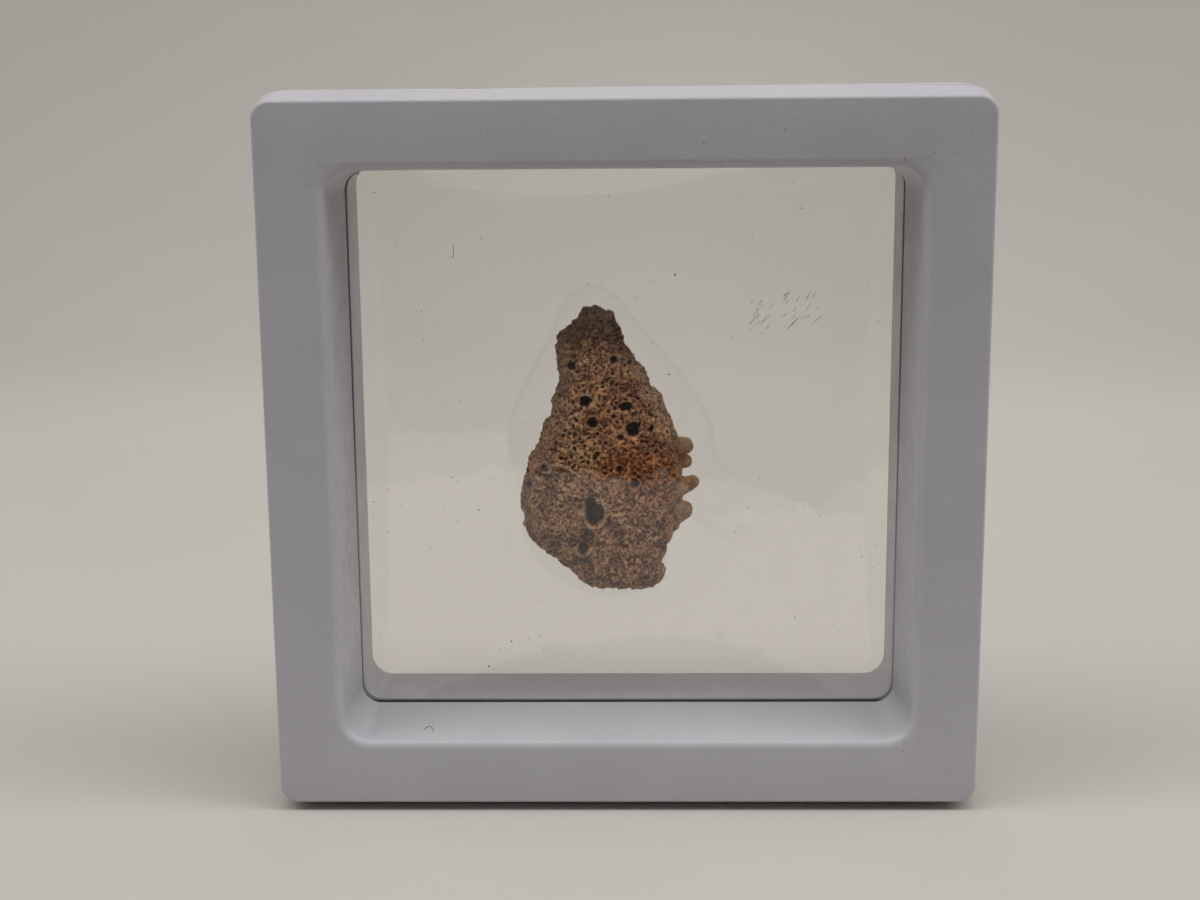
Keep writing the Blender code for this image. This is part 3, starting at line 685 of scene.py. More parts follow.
def distance_to_line(x, z, points):
    points = np.array(points, float)
    best = np.full(len(x), 1e9)
    for (ax, az), (bx, bz) in zip(points, points[1:]):
        dx, dz = bx - ax, bz - az
        t = np.clip(((x - ax) * dx + (z - az) * dz) / (dx * dx + dz * dz), 0, 1)
        best = np.minimum(best, np.hypot(x - ax - t * dx, z - az - t * dz))
    return best


def make_bone():
    verts, faces = plate_mesh()
    for chain in FINGERS:
        chain_mesh(chain, verts, faces)
    rough = link_mesh("osteoderm", verts, faces, None)
    outward(rough)
    remesh = rough.modifiers.new("skin", 'REMESH')
    remesh.mode = 'VOXEL'
    remesh.voxel_size = 0.113
    remesh.use_smooth_shade = True
    bpy.context.view_layer.update()
    shaped = bpy.data.meshes.new_from_object(rough.evaluated_get(bpy.context.evaluated_depsgraph_get()))
    rough.modifiers.clear()
    old = rough.data
    rough.data = shaped
    bpy.data.meshes.remove(old)
    mesh = rough.data
    count = len(mesh.vertices)
    p = np.empty(count * 3)
    mesh.vertices.foreach_get("co", p)
    p = p.reshape(-1, 3)
    normal = np.empty(count * 3)
    mesh.vertex_normals.foreach_get("vector", normal)
    normal = normal.reshape(-1, 3)

    x, y, z = p.T
    edge = np.array(OUTLINE + OUTLINE[:1])
    inside_edge = distance_to_line(x, z, edge)
    finger = step(4.9, 5.6, x) * step(24.5, 25.5, z) * step(36.2, 35.5, z)
    finger = np.maximum(finger, step(-0.2, 0.6, y) * step(4.1, 4.9, x) * step(25.0, 25.6, z) * step(36.0, 35.4, z))
    tip = step(43.6, 46.6, z + 0.35 * lattice(p * 0.9, 3))
    left_margin = step(1.9, 0.5, inside_edge + 0.35 * lattice(p * 0.7, 5)) * step(1.0, -3.0, x) * step(24.0, 27.0, z)
    lower = step(33.2, 30.5, z + 0.4 * x * 0.5)
    back = step(0.3, 1.2, y)

    # low lumps and the rolling relief of the surface
    lumps = 0.16 * fractal(p * 0.42, 11, 2) + 0.15 * fractal(p * 1.0, 23, 2) + 0.13 * lattice(p * 2.2, 29)
    lumps += 0.19 * fractal(p * 1.8, 35, 2) * step(1.1, 0.1, inside_edge) * (1 - 0.75 * tip)
    lumps *= 1 - 0.6 * finger
    # worm-like ridges towards the tip
    worm = np.abs(lattice(p * np.array([1.35, 1.2, 1.15]) + 0.9 * lattice(p * 0.8, 31)[:, None], 37))
    lumps += tip * (0.30 * step(0.32, 0.0, worm) - 0.11)

    # ---- pits: one in each cell of a jittered lattice, each an oval bowl in the surface
    rng = np.random.default_rng(20)
    spacing = 0.53
    cell = np.floor(p / spacing + 1000).astype(np.int64)
    key = (cell[:, 0] * 4000 + cell[:, 1]) * 4000 + cell[:, 2]
    unique, inverse = np.unique(key, return_inverse=True)
    jitter = rng.random((len(unique), 3))
    target = (cell - 1000 + jitter[inverse]) * spacing
    away = np.linalg.norm(p - target, axis=1)
    order = np.lexsort((away, inverse))
    first = np.r_[True, np.diff(inverse[order]) > 0]
    seeds = order[first]
    keep = rng.random(len(seeds)) < 0.94
    seeds = seeds[keep]
    # thin out those that crowd each other
    tree = kdtree.KDTree(len(seeds))
    for i, s in enumerate(seeds):
        tree.insert(p[s], i)
    tree.balance()
    alive = np.ones(len(seeds), bool)
    for i, s in enumerate(seeds):
        if alive[i]:
            for _, j, _ in tree.find_range(p[s], 0.30):
                if j > i:
                    alive[j] = False
    seeds = seeds[alive]
    total = len(seeds)
    seed_p, seed_n = p[seeds], normal[seeds]
    coarse = 0.5 + 0.5 * np.clip(1.6 * lattice(seed_p * 0.35, 41), -1, 1)
    sx, sz = seed_p[:, 0], seed_p[:, 2]
    middle = step(41.5, 39.0, sz) * step(29.0, 32.5, sz)
    size = rng.random(total) ** 1.5
    radius = 0.085 + 0.150 * size + 0.045 * coarse + 0.06 * middle * size
    depth = 0.06 + 0.26 * size + 0.12 * middle * size
    tint = np.clip(0.25 + 0.65 * size + 0.5 * (rng.random(total) - 0.5) + 0.35 * lattice(seed_p * 0.75, 43), 0.1, 1.0)
    stretch = 1.0 + 0.55 * rng.random(total) ** 2
    angle = rng.random(total) * math.pi
    helper = np.where(np.abs(seed_n[:, [2]]) < 0.9, np.array([[0, 0, 1.0]]), np.array([[1.0, 0, 0]]))
    e1 = np.cross(seed_n, helper)
    e1 /= np.linalg.norm(e1, axis=1)[:, None]
    e2 = np.cross(seed_n, e1)
    a1 = e1 * np.cos(angle)[:, None] + e2 * np.sin(angle)[:, None]
    a2 = -e1 * np.sin(angle)[:, None] + e2 * np.cos(angle)[:, None]
    tree = kdtree.KDTree(total)
    for i in range(total):
        tree.insert(seed_p[i], i)
    tree.balance()
    warp = np.c_[lattice(p * 2.1, 51), lattice(p * 2.1, 52), lattice(p * 2.1, 53)] * 0.14
    warp += np.c_[lattice(p * 4.5, 54), lattice(p * 4.5, 55), lattice(p * 4.5, 56)] * 0.075
    q = p + warp
    k_near = 4
    nearest = np.empty((count, k_near), np.int64)
    for i in range(count):
        nearest[i] = [hit[1] for hit in tree.find_n(q[i], k_near)]
    sunk = np.zeros(count)
    bowl = np.zeros(count)
    clear = np.full(count, 9.0)
    for k in range(k_near):
        j = nearest[:, k]
        d = q - seed_p[j]
        u = np.einsum('ij,ij->i', d, a1[j]) / (radius[j] * stretch[j])
        v = np.einsum('ij,ij->i', d, a2[j]) / (radius[j] / np.sqrt(stretch[j]))
        w = np.einsum('ij,ij->i', d, seed_n[j]) / 0.5
        r2 = u * u + v * v + w * w
        profile = np.clip(1 - r2, 0, 1) ** 1.3
        sunk = np.maximum(sunk, depth[j] * profile)
        bowl = np.maximum(bowl, profile * tint[j])
        clear = np.minimum(clear, np.sqrt(r2))
    # thin walls stand where two neighbouring pits meet; what lies between them is hollow
    s1, s2 = seed_p[nearest[:, 0]], seed_p[nearest[:, 1]]
    wall = (np.sum((q - s2) ** 2, axis=1) - np.sum((q - s1) ** 2, axis=1)) / (2 * np.linalg.norm(s1 - s2, axis=1) + 1e-6)
    room = np.clip(-0.55 + 1.45 * rng.random(total) + 0.9 * lattice(seed_p * 0.9, 47), 0, 1)[nearest[:, 0]]
    room *= 0.30 + 0.70 * np.maximum(middle, 0.6 * step(44.5, 42.0, sz))[nearest[:, 0]]
    hollow = step(0.03, 0.15, wall) * room
    sunk = np.maximum(sunk, 0.17 * hollow)
    bowl = np.maximum(bowl, 0.72 * hollow)
    thread = step(0.09, 0.02, wall) * (1 - np.clip(1.6 * bowl, 0, 1))
    soften = (1 - 0.80 * finger) * (1 - 0.40 * left_margin) * (1 - 0.30 * tip) * (1 - 0.25 * lower) * (1 - 0.35 * back)
    # winding crevices that join the pits
    wind = np.abs(lattice(q * 1.25, 57) + 0.35 * lattice(q * 2.7, 58))
    crevice = step(0.075, 0.0, wind) * step(-0.05, 0.35, lattice(p * 0.8, 59))
    sunk = np.maximum(sunk, 0.12 * crevice)
    bowl = np.maximum(bowl, 0.55 * crevice)
    bowl = np.maximum(bowl, 0.80 * tip * step(0.36, 0.60, worm))
    sunk *= soften
    ridge = step(0.95, 1.7, clear)
    lumps += 0.05 * ridge * soften

    # ---- welts and cracks
    pale = np.zeros(count)
    front = step(0.8, 0.0, y)
    for points, height, width, paleness in WELTS:
        d = distance_to_line(x, z, points)
        on = np.exp(-(d / width) ** 2) * front
        lumps += height * on
        sunk *= 1 - 0.8 * on
        # the raised lines are painted paler: painted highlight where they catch the light
        pale = np.maximum(pale, paleness * on * (0.65 + 0.35 * np.clip(2 * lattice(p * 2.5, 61), -1, 1)))
    crack = np.zeros(count)
    for points, deep, width in CRACKS:
        wander = 0.12 * lattice(p * 1.3, 67)
        d = distance_to_line(x, z + wander, points)
        on = np.exp(-(d / width) ** 2) * front
        crack = np.maximum(crack, on)
        sunk += deep * on

    moved = p + normal * (lumps - sunk)[:, None]

    # ---- blood-vessel openings, sunk straight in from the front
    hole_shade = np.zeros(count)
    facing = step(-0.15, -0.35, normal[:, 1])
    for hx, hz, rx, rz, deep, darkness in VESSELS:
        wob = 1 + 0.22 * lattice(np.c_[x, x * 0, z] * 1.6 + hx, 71)
        r = np.hypot((x - hx) / (rx * wob), (z - hz) / (rz * wob))
        inside = step(1.28, 0.86, r) * facing
        moved[:, 1] += deep * inside * (0.75 + 0.25 * step(0.8, 0.0, r))
        rim = np.exp(-((r - 1.42) / 0.22) ** 2) * facing
        moved[:, 1] -= 0.05 * rim
        # the openings are painted dark inside as well: painted shade
        hole_shade = np.maximum(hole_shade, darkness * step(1.18, 0.75, r) * facing)

    mesh.vertices.foreach_set("co", (moved * MM).ravel())
    mesh.update()
    mesh.materials.clear()
    mesh.materials.append(BONE)
    mesh.shade_smooth()

    # how far each point stands above or below its neighbours; from it the crests get a painted highlight and the
    # hollows get painted shade
    edges = np.empty(len(mesh.edges) * 2, np.int64)
    mesh.edges.foreach_get("vertices", edges)
    edges = edges.reshape(-1, 2)
    degree = np.bincount(edges.ravel(), minlength=count).astype(float)

    def neighbours(values):
        return np.stack([np.bincount(edges[:, 0], values[edges[:, 1], c], count) + np.bincount(edges[:, 1], values[edges[:, 0], c], count)
                         for c in range(values.shape[1])], axis=1) / degree[:, None]

    around = neighbours(neighbours(neighbours(moved)))
    stand = np.einsum('ij,ij->i', moved - around, normal)
    stand = stand / np.percentile(np.abs(stand), 85)
    crest_highlight = np.clip(stand, 0, 1.3)
    cavity_shade = np.clip(-stand, 0, 1)

    patch = fractal(p * 0.55, 81, 2)
    # paler at the top of the tip, along the upper right edge and on the left margin; on the top projection this is
    # painted light, for the light that falls on its top
    paler_and_lit = 0.60 * step(46.6, 47.9, z) + 0.70 * step(1.5, 0.3, inside_edge) * step(-1.0, 1.5, x) * step(33.5, 37.5, z) * step(45.0, 42.5, z)
    paler_and_lit = np.maximum(paler_and_lit, np.maximum(0.45 * finger * step(33.2, 33.9, z), 0.34 * left_margin))
    pale = np.maximum(pale, paler_and_lit * (0.62 + 0.60 * np.clip(1.8 * lattice(p * 2.2, 83), -1, 1)))
    rust = step(4.5, 2.0, np.hypot((x - 1.5) / 1.25, (z - 32.9) / 0.82) + 0.9 * patch)
    rust = np.maximum(rust, 0.55 * step(3.0, 0.5, np.hypot((x - 0.6) / 1.3, (z - 35.2) / 0.9) + 1.1 * patch))
    rust = np.maximum(rust, 0.85 * step(2.6, 0.8, np.hypot((x - 3.3) / 0.75, z - 31.0) + 0.6 * patch))
    rust = np.maximum(rust, 0.42 * step(4.6, 1.5, np.hypot((x + 1.0) / 0.95, z - 38.2) + 1.4 * patch))
    gold = step(8.0, 3.0, np.hypot((x + 0.8) / 1.05, (z - 36.0) / 0.62) + 1.6 * patch)
    grey = np.maximum.reduce([tip * 0.8, left_margin * 0.7, back * 0.5])
    grey = np.clip(grey + 0.25 * lower * step(-0.2, 0.5, patch), 0, 1) * (1 - 0.6 * rust)
    add_attribute(mesh, "rest", p, 'FLOAT_VECTOR')
    add_attribute(mesh, "pit", np.clip(bowl * soften + 0.9 * crack, 0, 1))
    add_attribute(mesh, "crest_highlight", np.clip(crest_highlight + 0.2 * thread * soften, 0, 1.3))
    add_attribute(mesh, "cavity_shade", cavity_shade * (1 - 0.6 * finger))
    add_attribute(mesh, "smooth", finger)
    add_attribute(mesh, "rust", np.clip(rust, 0, 1))
    add_attribute(mesh, "grey", grey)
    add_attribute(mesh, "lower", lower)
    add_attribute(mesh, "gold", np.clip(gold, 0, 1))
    add_attribute(mesh, "pale", np.clip(pale, 0, 1))
    add_attribute(mesh, "dark", np.clip(hole_shade, 0, 1))
    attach(rough, "root")
    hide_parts("osteoderm")
    print("osteoderm triangles", sum(len(f.vertices) - 2 for f in mesh.polygons), "pits", total)
    return moved


bone_points = make_bone()


# ======================================================================
# the films
# ======================================================================
NET = 0.4
REACH = 27.2
FILM_THICK = 0.09


def relax(height, floor, inside, pull, rounds, over=1.86):
    ii, kk = np.indices(height.shape)
    for _ in range(rounds):
        for parity in (0, 1):
            mean = np.zeros_like(height)
            mean[1:-1, 1:-1] = 0.25 * (height[2:, 1:-1] + height[:-2, 1:-1] + height[1:-1, 2:] + height[1:-1, :-2]
                                       - pull[1:-1, 1:-1] * NET**2)
            cells = ((ii + kk) % 2 == parity) & inside
            height = np.where(cells, np.maximum(height + over * (mean - height), floor), height)
    return height


def film_heights(side, air, tilt, cling, lip):
    """Distance of a film's inner face from the parting plane, in mm.

    Air between the films holds them apart as a shallow pillow; over the bone they
    stand further out, and close down again at a line a few millimetres from its edge.
    """
    count = int(round(2 * REACH / NET)) + 1
    net = -REACH + np.arange(count) * NET
    gx, gz = np.meshgrid(net, net, indexing='ij')
    bone = np.full((count, count), -9.0)
    ix = np.rint((bone_points[:, 0] - net[0]) / NET).astype(int)
    iz = np.rint((bone_points[:, 2] - CENTRE_Z - net[0]) / NET).astype(int)
    out = side * bone_points[:, 1]
    for dx in (-1, 0, 1):
        for dz in (-1, 0, 1):
            np.maximum.at(bone, (ix + dx, iz + dz), out + (0.03 if dx == dz == 0 else 0.0))
    # the film bridges the pits and low places, so it follows an envelope of the bone
    on_bone = bone > -8
    flat = np.where(on_bone, bone, 0.0)
    weight = on_bone.astype(float)
    for _ in range(26):
        flat[1:-1, 1:-1] = 0.5 * flat[1:-1, 1:-1] + 0.125 * (flat[2:, 1:-1] + flat[:-2, 1:-1] + flat[1:-1, 2:] + flat[1:-1, :-2])
        weight[1:-1, 1:-1] = 0.5 * weight[1:-1, 1:-1] + 0.125 * (weight[2:, 1:-1] + weight[:-2, 1:-1] + weight[1:-1, 2:] + weight[1:-1, :-2])
    envelope = flat / np.maximum(weight, 0.05) + 0.16
    bone = np.where(on_bone, np.maximum(bone, envelope), bone)
    inside = np.zeros((count, count), bool)
    inside[1:-1, 1:-1] = True
    none = np.full((count, count), -99.0)
    # the pillow is steepest beside the frame
    beside = np.exp(-(REACH - np.maximum(np.abs(gx), np.abs(gz))) / 6.0)
    push = -air * (1 + tilt[0] * gx / REACH + tilt[1] * gz / REACH + 4.6 * beside)
    base = relax(np.full((count, count), 0.42), none, inside, push, 420)
    need = np.where(bone > -8, bone - base + lip, -99.0)
    start = np.maximum(need, 0.0)
    tent = relax(start, np.maximum(need, 0.0), inside, np.full((count, count), cling), 420)
    return net, base + np.maximum(tent - lip, 0.0)


# the line (x, z) at which the films part to pass round the bone; painted shade marks it, plain to see in its upper part
# only
RING = (
    (-11.34, 35.31), (-11.44, 37.57), (-10.31, 40.69), (-8.72, 43.53), (-7.13, 46.31), (-6.48, 48.48),
    (-5.23, 50.33), (-3.08, 51.11), (-0.94, 50.30), (0.57, 48.13), (2.72, 45.64), (5.18, 42.82), (7.35, 39.68),
    (8.58, 36.81), (8.79, 34.27), (12.00, 30.60), (11.20, 26.00), (8.20, 20.60), (2.50, 17.60), (-5.00, 17.60),
    (-9.60, 20.60), (-12.40, 24.60), (-12.90, 29.00), (-11.60, 33.40),
)


def inside_ring(x, z):
    """Distance inside the ring, in mm; negative outside it."""
    points = np.array(RING + RING[:1])
    away = distance_to_line(x, z, points)
    within = np.zeros(len(x), bool)
    for (ax, az), (bx, bz) in zip(points, points[1:]):
        crosses = (az > z) != (bz > z)
        within ^= crosses & (x < ax + (z - az) * (bx - ax) / (bz - az if bz != az else 1e-9))
    return np.where(within, away, -away)


def make_film(name, node, side, **shape):
    net, height = film_heights(side, **shape)
    count = len(net)
    seat_in, seat_out, corner = 27.35, 30.2, 4.6
    grid = np.empty((count, count, 3))
    grid[..., 0] = net[:, None]
    grid[..., 2] = net[None, :] + CENTRE_Z
    grid[..., 1] = side * height
    # the bonded rim, outside the window
    verts, faces = [], []
    layers = []
    for thick in (0.0, FILM_THICK):
        g = grid.copy()
        slope_x = np.gradient(height, NET, axis=0)
        slope_z = np.gradient(height, NET, axis=1)
        g[..., 1] += side * thick * np.sqrt(1 + slope_x**2 + slope_z**2)
        base = len(verts)
        verts += [tuple(v) for v in g.reshape(-1, 3)]
        layers.append(base)
        for i in range(count - 1):
            for k in range(count - 1):
                a = base + i * count + k
                faces.append((a, a + count, a + count + 1, a + 1))
    ring = ([(i, 0) for i in range(count)] + [(count - 1, k) for k in range(1, count)]
            + [(i, count - 1) for i in range(count - 2, -1, -1)] + [(0, k) for k in range(count - 2, 0, -1)])
    rims = []
    for layer, thick in zip(layers, (0.0, FILM_THICK)):
        base = len(verts)
        for i, k in ring:
            x, z = net[i], net[k]
            far = max(abs(x), abs(z))
            px, pz = x * seat_out / far, z * seat_out / far
            # round the outer corners
            cx, cz = max(abs(px) - (seat_out - corner), 0.0), max(abs(pz) - (seat_out - corner), 0.0)
            reach = math.hypot(cx, cz)
            if reach > corner:
                px = math.copysign(abs(px) - cx + cx * corner / reach, px)
                pz = math.copysign(abs(pz) - cz + cz * corner / reach, pz)
            verts.append((px, side * (0.42 + thick), pz + CENTRE_Z))
        rims.append(base)
        for m in range(len(ring)):
            w = (m + 1) % len(ring)
            a = layer + ring[m][0] * count + ring[m][1]
            b = layer + ring[w][0] * count + ring[w][1]
            faces.append((a, b, base + w, base + m))
    for m in range(len(ring)):
        w = (m + 1) % len(ring)
        faces.append((rims[0] + m, rims[0] + w, rims[1] + w, rims[1] + m))
    obj = link_mesh(name, np.array(verts) * MM, faces, FILM_FRONT if side < 0 else FILM_REAR, sharp=60)
    if side < 0:
        points = np.array(verts)
        add_attribute(obj.data, "opened", inside_ring(points[:, 0], points[:, 2]))
        # shown: how strongly the ring's painted shade shows, faint low down
        add_attribute(obj.data, "shown", 0.12 + 0.88 * step(31.0, 37.0, points[:, 2]))
    outward(obj)
    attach(obj, "root")
    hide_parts(node)
    print(name, "highest", round(float(height.max()), 2))
    return net, height


front_net, front_height = make_film("film_front", "membrane_front", -1, air=0.0065, tilt=(0.2, 0.5), cling=0.06, lip=0.20)
rear_net, rear_height = make_film("film_rear", "membrane_rear", +1, air=0.0055, tilt=(0.0, 0.0), cling=0.08, lip=0.30)


def on_film(x, z, lift=0.02):
    """Point on the outside of the front film."""
    i = int(round((x - front_net[0]) / NET))
    k = int(round((z - CENTRE_Z - front_net[0]) / NET))
    return Vector((x, -(float(front_height[i, k]) + FILM_THICK + lift), z))


def crumbs(name, mat, places, swell=0.35):
    """Small irregular lenses: (x, y, z, across, up, turn) with their flat sides to the front, or to the top if up < 0."""
    rng = np.random.default_rng(7)
    verts, faces = [], []
    for x, y, z, across, up, turn in places:
        base = len(verts)
        lying = up < 0
        up = abs(up)
        sides = 8
        high = swell * min(across, up) + 0.008
        for k in range(sides):
            a = 2 * math.pi * k / sides
            u, w = across * math.cos(a) * (0.75 + 0.5 * rng.random()), up * math.sin(a) * (0.75 + 0.5 * rng.random())
            u, w = u * math.cos(turn) - w * math.sin(turn), u * math.sin(turn) + w * math.cos(turn)
            verts.append((x + u, y + w, z) if lying else (x + u, y, z + w))
        for rise in (1.0, -0.3):
            verts.append((x, y, z + high * rise) if lying else (x, y - high * rise, z))
        for k in range(sides):
            m = (k + 1) % sides
            faces.append((base + k, base + m, base + sides))
            faces.append((base + m, base + k, base + sides + 1))
    obj = link_mesh(name, np.array(verts) * MM, faces, mat)
    outward(obj)
    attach(obj, "root")


def hairs(name, mat, curves, thick=0.028):
    """Thin bent fibres, each through its points."""
    verts, faces = [], []
    sides = 6
    for points in curves:
        points = [Vector(p) for p in points]
        fine = []
        for i in range(len(points) - 1):
            p0, p1, p2, p3 = points[max(i - 1, 0)], points[i], points[i + 1], points[min(i + 2, len(points) - 1)]
            for k in range(6):
                t = k / 6
                fine.append(0.5 * (2 * p1 + (p2 - p0) * t + (2 * p0 - 5 * p1 + 4 * p2 - p3) * t * t
                                   + (3 * p1 - p0 - 3 * p2 + p3) * t**3))
        fine.append(points[-1])
        base = len(verts)
        for i, p in enumerate(fine):
            along = (fine[min(i + 1, len(fine) - 1)] - fine[max(i - 1, 0)]).normalized()
            across = along.cross(Vector((0.3, 1.0, 0.2))).normalized()
            up = across.cross(along)
            r = thick * (1.0 if 0 < i < len(fine) - 1 else 0.4)
            for k in range(sides):
                a = 2 * math.pi * k / sides
                verts.append(tuple(p + across * (r * math.cos(a)) + up * (r * math.sin(a))))
        for i in range(len(fine) - 1):
            for k in range(sides):
                m = (k + 1) % sides
                faces.append((base + i * sides + k, base + i * sides + m, base + (i + 1) * sides + m, base + (i + 1) * sides + k))
        faces.append(tuple(base + k for k in range(sides)))
        faces.append(tuple(base + (len(fine) - 1) * sides + k for k in range(sides)))
    obj = link_mesh(name, np.array(verts) * MM, faces, mat)
    outward(obj)
    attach(obj, "root")


def make_marks():
    rng = np.random.default_rng(11)

    def stuck(x, z, across, up, turn=0.0):
        at = on_film(x, z, 0.012)
        return (at.x, at.y, at.z, across, up, turn)

    # single grains on the film
    spots = [(4.86, 51.97, 0.11), (4.27, 42.28, 0.10), (-11.66, 14.74, 0.11), (-14.04, 12.0, 0.12), (-24.19, 59.93, 0.08), (-23.2, 58.9, 0.06),
             (17.1, 58.2, 0.08), (16.6, 57.9, 0.06), (10.4, 45.9, 0.07), (-3.5, 51.1, 0.07), (-2.1, 51.4, 0.06), (-16.3, 39.6, 0.07),
             (-17.2, 31.9, 0.08), (-14.6, 28.6, 0.08), (16.9, 17.2, 0.07), (20.9, 27.8, 0.06), (1.2, 56.6, 0.06), (13.2, 31.7, 0.06)]
    dark = [stuck(x, z, r, r * 0.85) for x, z, r in spots]
    # dirt in the top left corner of the window
    dark += [(-26.3, -0.75, 61.9, 0.20, 0.07, 0.0), (-25.7, -0.75, 61.75, 0.14, 0.06, 0.3), (-26.7, -0.75, 61.5, 0.08, 0.13, 0.1)]
    # grains in the bezel's grain
    dark += [(25.66, -10.0, 63.49, 0.11, 0.10, 0.0), (-34.0, -9.8, 55.93, 0.10, 0.10, 0.0), (-29.28, -10.0, 61.51, 0.07, 0.07, 0.0),
             (33.95, -9.85, 60.5, 0.07, 0.22, 0.1), (34.0, -9.8, 55.1, 0.06, 0.16, 0.0), (33.97, -9.8, 57.7, 0.05, 0.12, 0.0)]
    # scuffed patch at the upper right: short strokes, dark and pale, that all lean the same way
    pale, strokes = [], []
    for _ in range(36):
        x, z = 12.0 + 7.2 * rng.random(), 46.6 + 3.9 * rng.random()
        z += 0.20 * (x - 15.5)
        lean = math.radians(42 + 22 * rng.random())
        long = 0.25 + 0.75 * rng.random() ** 2
        if rng.random() < 0.15:
            dark.append(stuck(x, z, long * 0.35, 0.022, lean))
        else:
            pale.append(stuck(x, z, long * 0.7, 0.020 + 0.020 * rng.random(), lean))
    crumbs("dust_specks", DUST, dark)
    crumbs("film_scuffs", LINT, pale, swell=0.30)
    # earth caught in the seam on top
    rows = []
    for _ in range(16):
        x = -16.1 + 4.7 * rng.random()
        rows.append((x, -0.05 + 0.10 * rng.random(), 69.76, 0.10 + 0.22 * rng.random(), -(0.05 + 0.07 * rng.random()), 0.0))
    crumbs("seam_dirt", EARTH, rows)
    film_hair = [tuple(on_film(x, z, 0.03)) for x, z in ((-16.58, 55.0), (-16.60, 54.5), (-16.57, 54.0), (-16.63, 53.76), (-16.84, 53.72))]
    hairs("stray_hairs", DUST, [film_hair,
                                ((-20.1, -7.4, 7.50), (-19.85, -6.6, 7.52), (-19.4, -6.7, 7.52), (-19.1, -7.8, 7.50)),
                                ((27.10, -0.75, 34.6), (27.08, -0.70, 34.2), (27.11, -0.72, 33.8))])


make_marks()


# ======================================================================
# floor, backdrop and light
# ======================================================================
def stage_material():
    n = Nodes("pale_floor")
    at = n.coords()
    broad = n.noise(at, 0.006, 3.0)
    fine = n.noise(at, 0.35, 4.0)
    colour = n.mix(n.ramp(broad, 0.35, 0.65), (0.545, 0.520, 0.485), (0.565, 0.540, 0.505))
    # painted shade: the far part of the sweep is darker, for the light that falls off there
    far = n.ramp(n.axis(at)[1], 180.0, 460.0, 0.0, 0.16, smooth=False)
    colour = n.mix(far, colour, (0.12, 0.12, 0.115))
    n.link(colour, n.bsdf.inputs["Base Color"])
    n.bsdf.inputs["Roughness"].default_value = 0.62
    n.link(n.bump(fine, 0.25, 0.15), n.bsdf.inputs["Normal"])
    return n.mat


def make_stage():
    mat = stage_material()
    # the table top and its upward sweep behind; its near edge lies below the camera
    edge = [(-700, -172), (-120, -166), (-48, -157), (-23, -152), (20.5, -117), (38, -99), (120, -84), (700, -78)]
    profile = []
    for y in (0, 120, 260):
        profile.append((y, 0.0))
    for k in range(1, 15):
        a = math.radians(90 * k / 14)
        profile.append((260 + 220 * math.sin(a), 220 - 220 * math.cos(a)))
    profile.append((480, 1200.0))
    verts, faces = [], []
    for x, y in edge:
        verts.append((x, y, 0.0))
    for y, z in profile:
        for x, _ in edge:
            verts.append((x * 1.0, y, z))
    n = len(edge)
    for r in range(len(profile)):
        for i in range(n - 1):
            faces.append((r * n + i, r * n + i + 1, (r + 1) * n + i + 1, (r + 1) * n + i))
    # the edge's thickness
    base = len(verts)
    for x, y in edge:
        verts.append((x, y - 2.0, -3.0))
    for x, y in edge:
        verts.append((x, y, -40.0))
    for i in range(n - 1):
        faces.append((base + i, base + i + 1, i + 1, i))
        faces.append((base + n + i, base + n + i + 1, base + i + 1, base + i))
    table = link_mesh("table_sweep", np.array(verts) * MM, faces, mat, sharp=40)
    lower = speck_material("room_floor", (0.10, 0.095, 0.09))
    ground = link_mesh("room_ground", np.array([(-4000, -4000, -700), (4000, -4000, -700), (4000, 4000, -700), (-4000, 4000, -700)]) * MM,
                       [(0, 1, 2, 3)], lower)


make_stage()


# how much brighter than the rest of the room its right and left sides are
RIGHT_WINDOW, LEFT_WINDOW = 2.3, 1.4


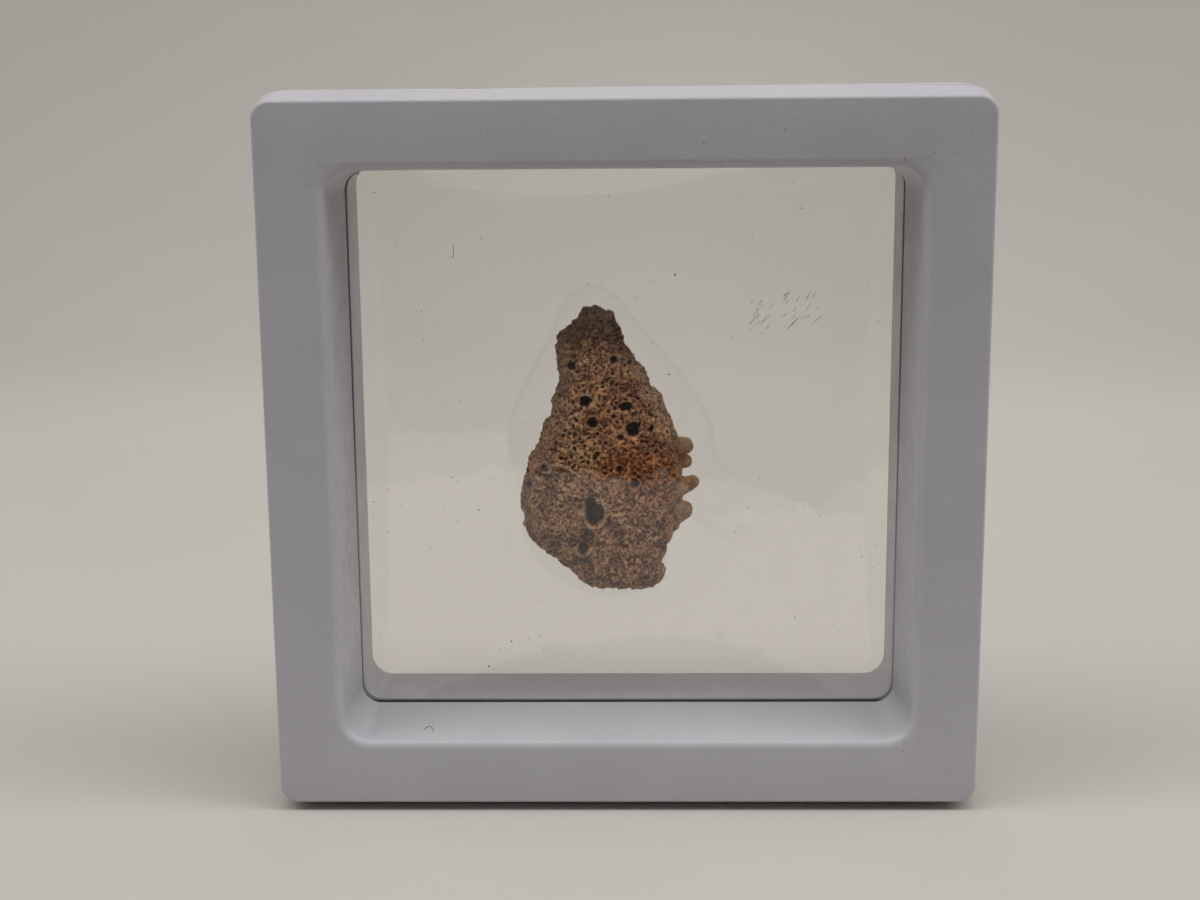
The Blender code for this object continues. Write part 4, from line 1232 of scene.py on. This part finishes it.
def make_light():
    world = bpy.data.worlds.new("soft_room")
    world.use_nodes = True
    tree = world.node_tree
    tree.nodes.clear()
    coord = tree.nodes.new("ShaderNodeTexCoord")
    split = tree.nodes.new("ShaderNodeSeparateXYZ")
    tree.links.new(coord.outputs["Generated"], split.inputs[0])
    def spread(socket, low, high, to_low, to_high, smooth=True):
        made = tree.nodes.new("ShaderNodeMapRange")
        made.interpolation_type = 'SMOOTHSTEP' if smooth else 'LINEAR'
        made.inputs["From Min"].default_value = low
        made.inputs["From Max"].default_value = high
        made.inputs["To Min"].default_value = to_low
        made.inputs["To Max"].default_value = to_high
        tree.links.new(socket, made.inputs["Value"])
        return made.outputs[0]

    def times(a, b):
        made = tree.nodes.new("ShaderNodeMath")
        made.operation = 'MULTIPLY'
        tree.links.new(a, made.inputs[0])
        tree.links.new(b, made.inputs[1])
        return made.outputs[0]

    sky = spread(split.outputs["Z"], 0.0, 1.0, 0.17, 0.22, smooth=False)
    sky = times(sky, spread(split.outputs["Z"], -0.03, 0.10, 0.9, 1.0))
    sky = times(sky, spread(split.outputs["Y"], -0.95, -0.40, 0.50, 1.0))     # the side that the camera stands on is dim
    sky = times(sky, spread(split.outputs["Y"], 0.10, 0.70, 1.0, 1.7))

    def window(x_from, x_to, gain):
        across = spread(split.outputs["X"], x_from, x_to, 0.0, gain)
        ahead = times(across, spread(split.outputs["Y"], -0.80, -0.45, 0.0, 1.0))
        made = tree.nodes.new("ShaderNodeMath")
        made.operation = 'ADD'
        made.inputs[1].default_value = 1.0
        tree.links.new(ahead, made.inputs[0])
        return made.outputs[0]

    product = times(times(sky, window(0.45, 0.85, RIGHT_WINDOW)), window(-0.45, -0.85, LEFT_WINDOW))
    shade = tree.nodes.new("ShaderNodeBackground")
    shade.inputs["Color"].default_value = (1.0, 0.985, 0.965, 1.0)
    tree.links.new(product, shade.inputs["Strength"])
    out = tree.nodes.new("ShaderNodeOutputWorld")
    tree.links.new(shade.outputs[0], out.inputs["Surface"])
    scene.world = world

    # a long soft box overhead, a little to the front, and two small ones that lift the table behind
    for name, place, wide, deep, energy in (("overhead_softbox", (0.26, -0.165, 0.75), 2.4, 0.36, 8.75),
                                            ("backdrop_softbox", (0.02, 0.23, 0.26), 0.25, 0.25, 0.080),
                                            ("backdrop_glow", (0.002, 0.27, 0.135), 0.10, 0.18, 0.033)):
        data = bpy.data.lights.new(name, 'AREA')
        data.shape = 'RECTANGLE'
        data.size, data.size_y = wide, deep
        data.energy = energy
        data.color = (1.0, 0.985, 0.96)
        lamp = bpy.data.objects.new(name, data)
        scene.collection.objects.link(lamp)
        lamp.location = place


make_light()

scene.view_settings.view_transform = 'Standard'
scene.view_settings.look = 'None'
scene.view_settings.exposure = 0.0
scene.view_settings.gamma = 1.0
# the films need few turns of a light path
scene.cycles.max_bounces = 9
scene.cycles.transmission_bounces = 9
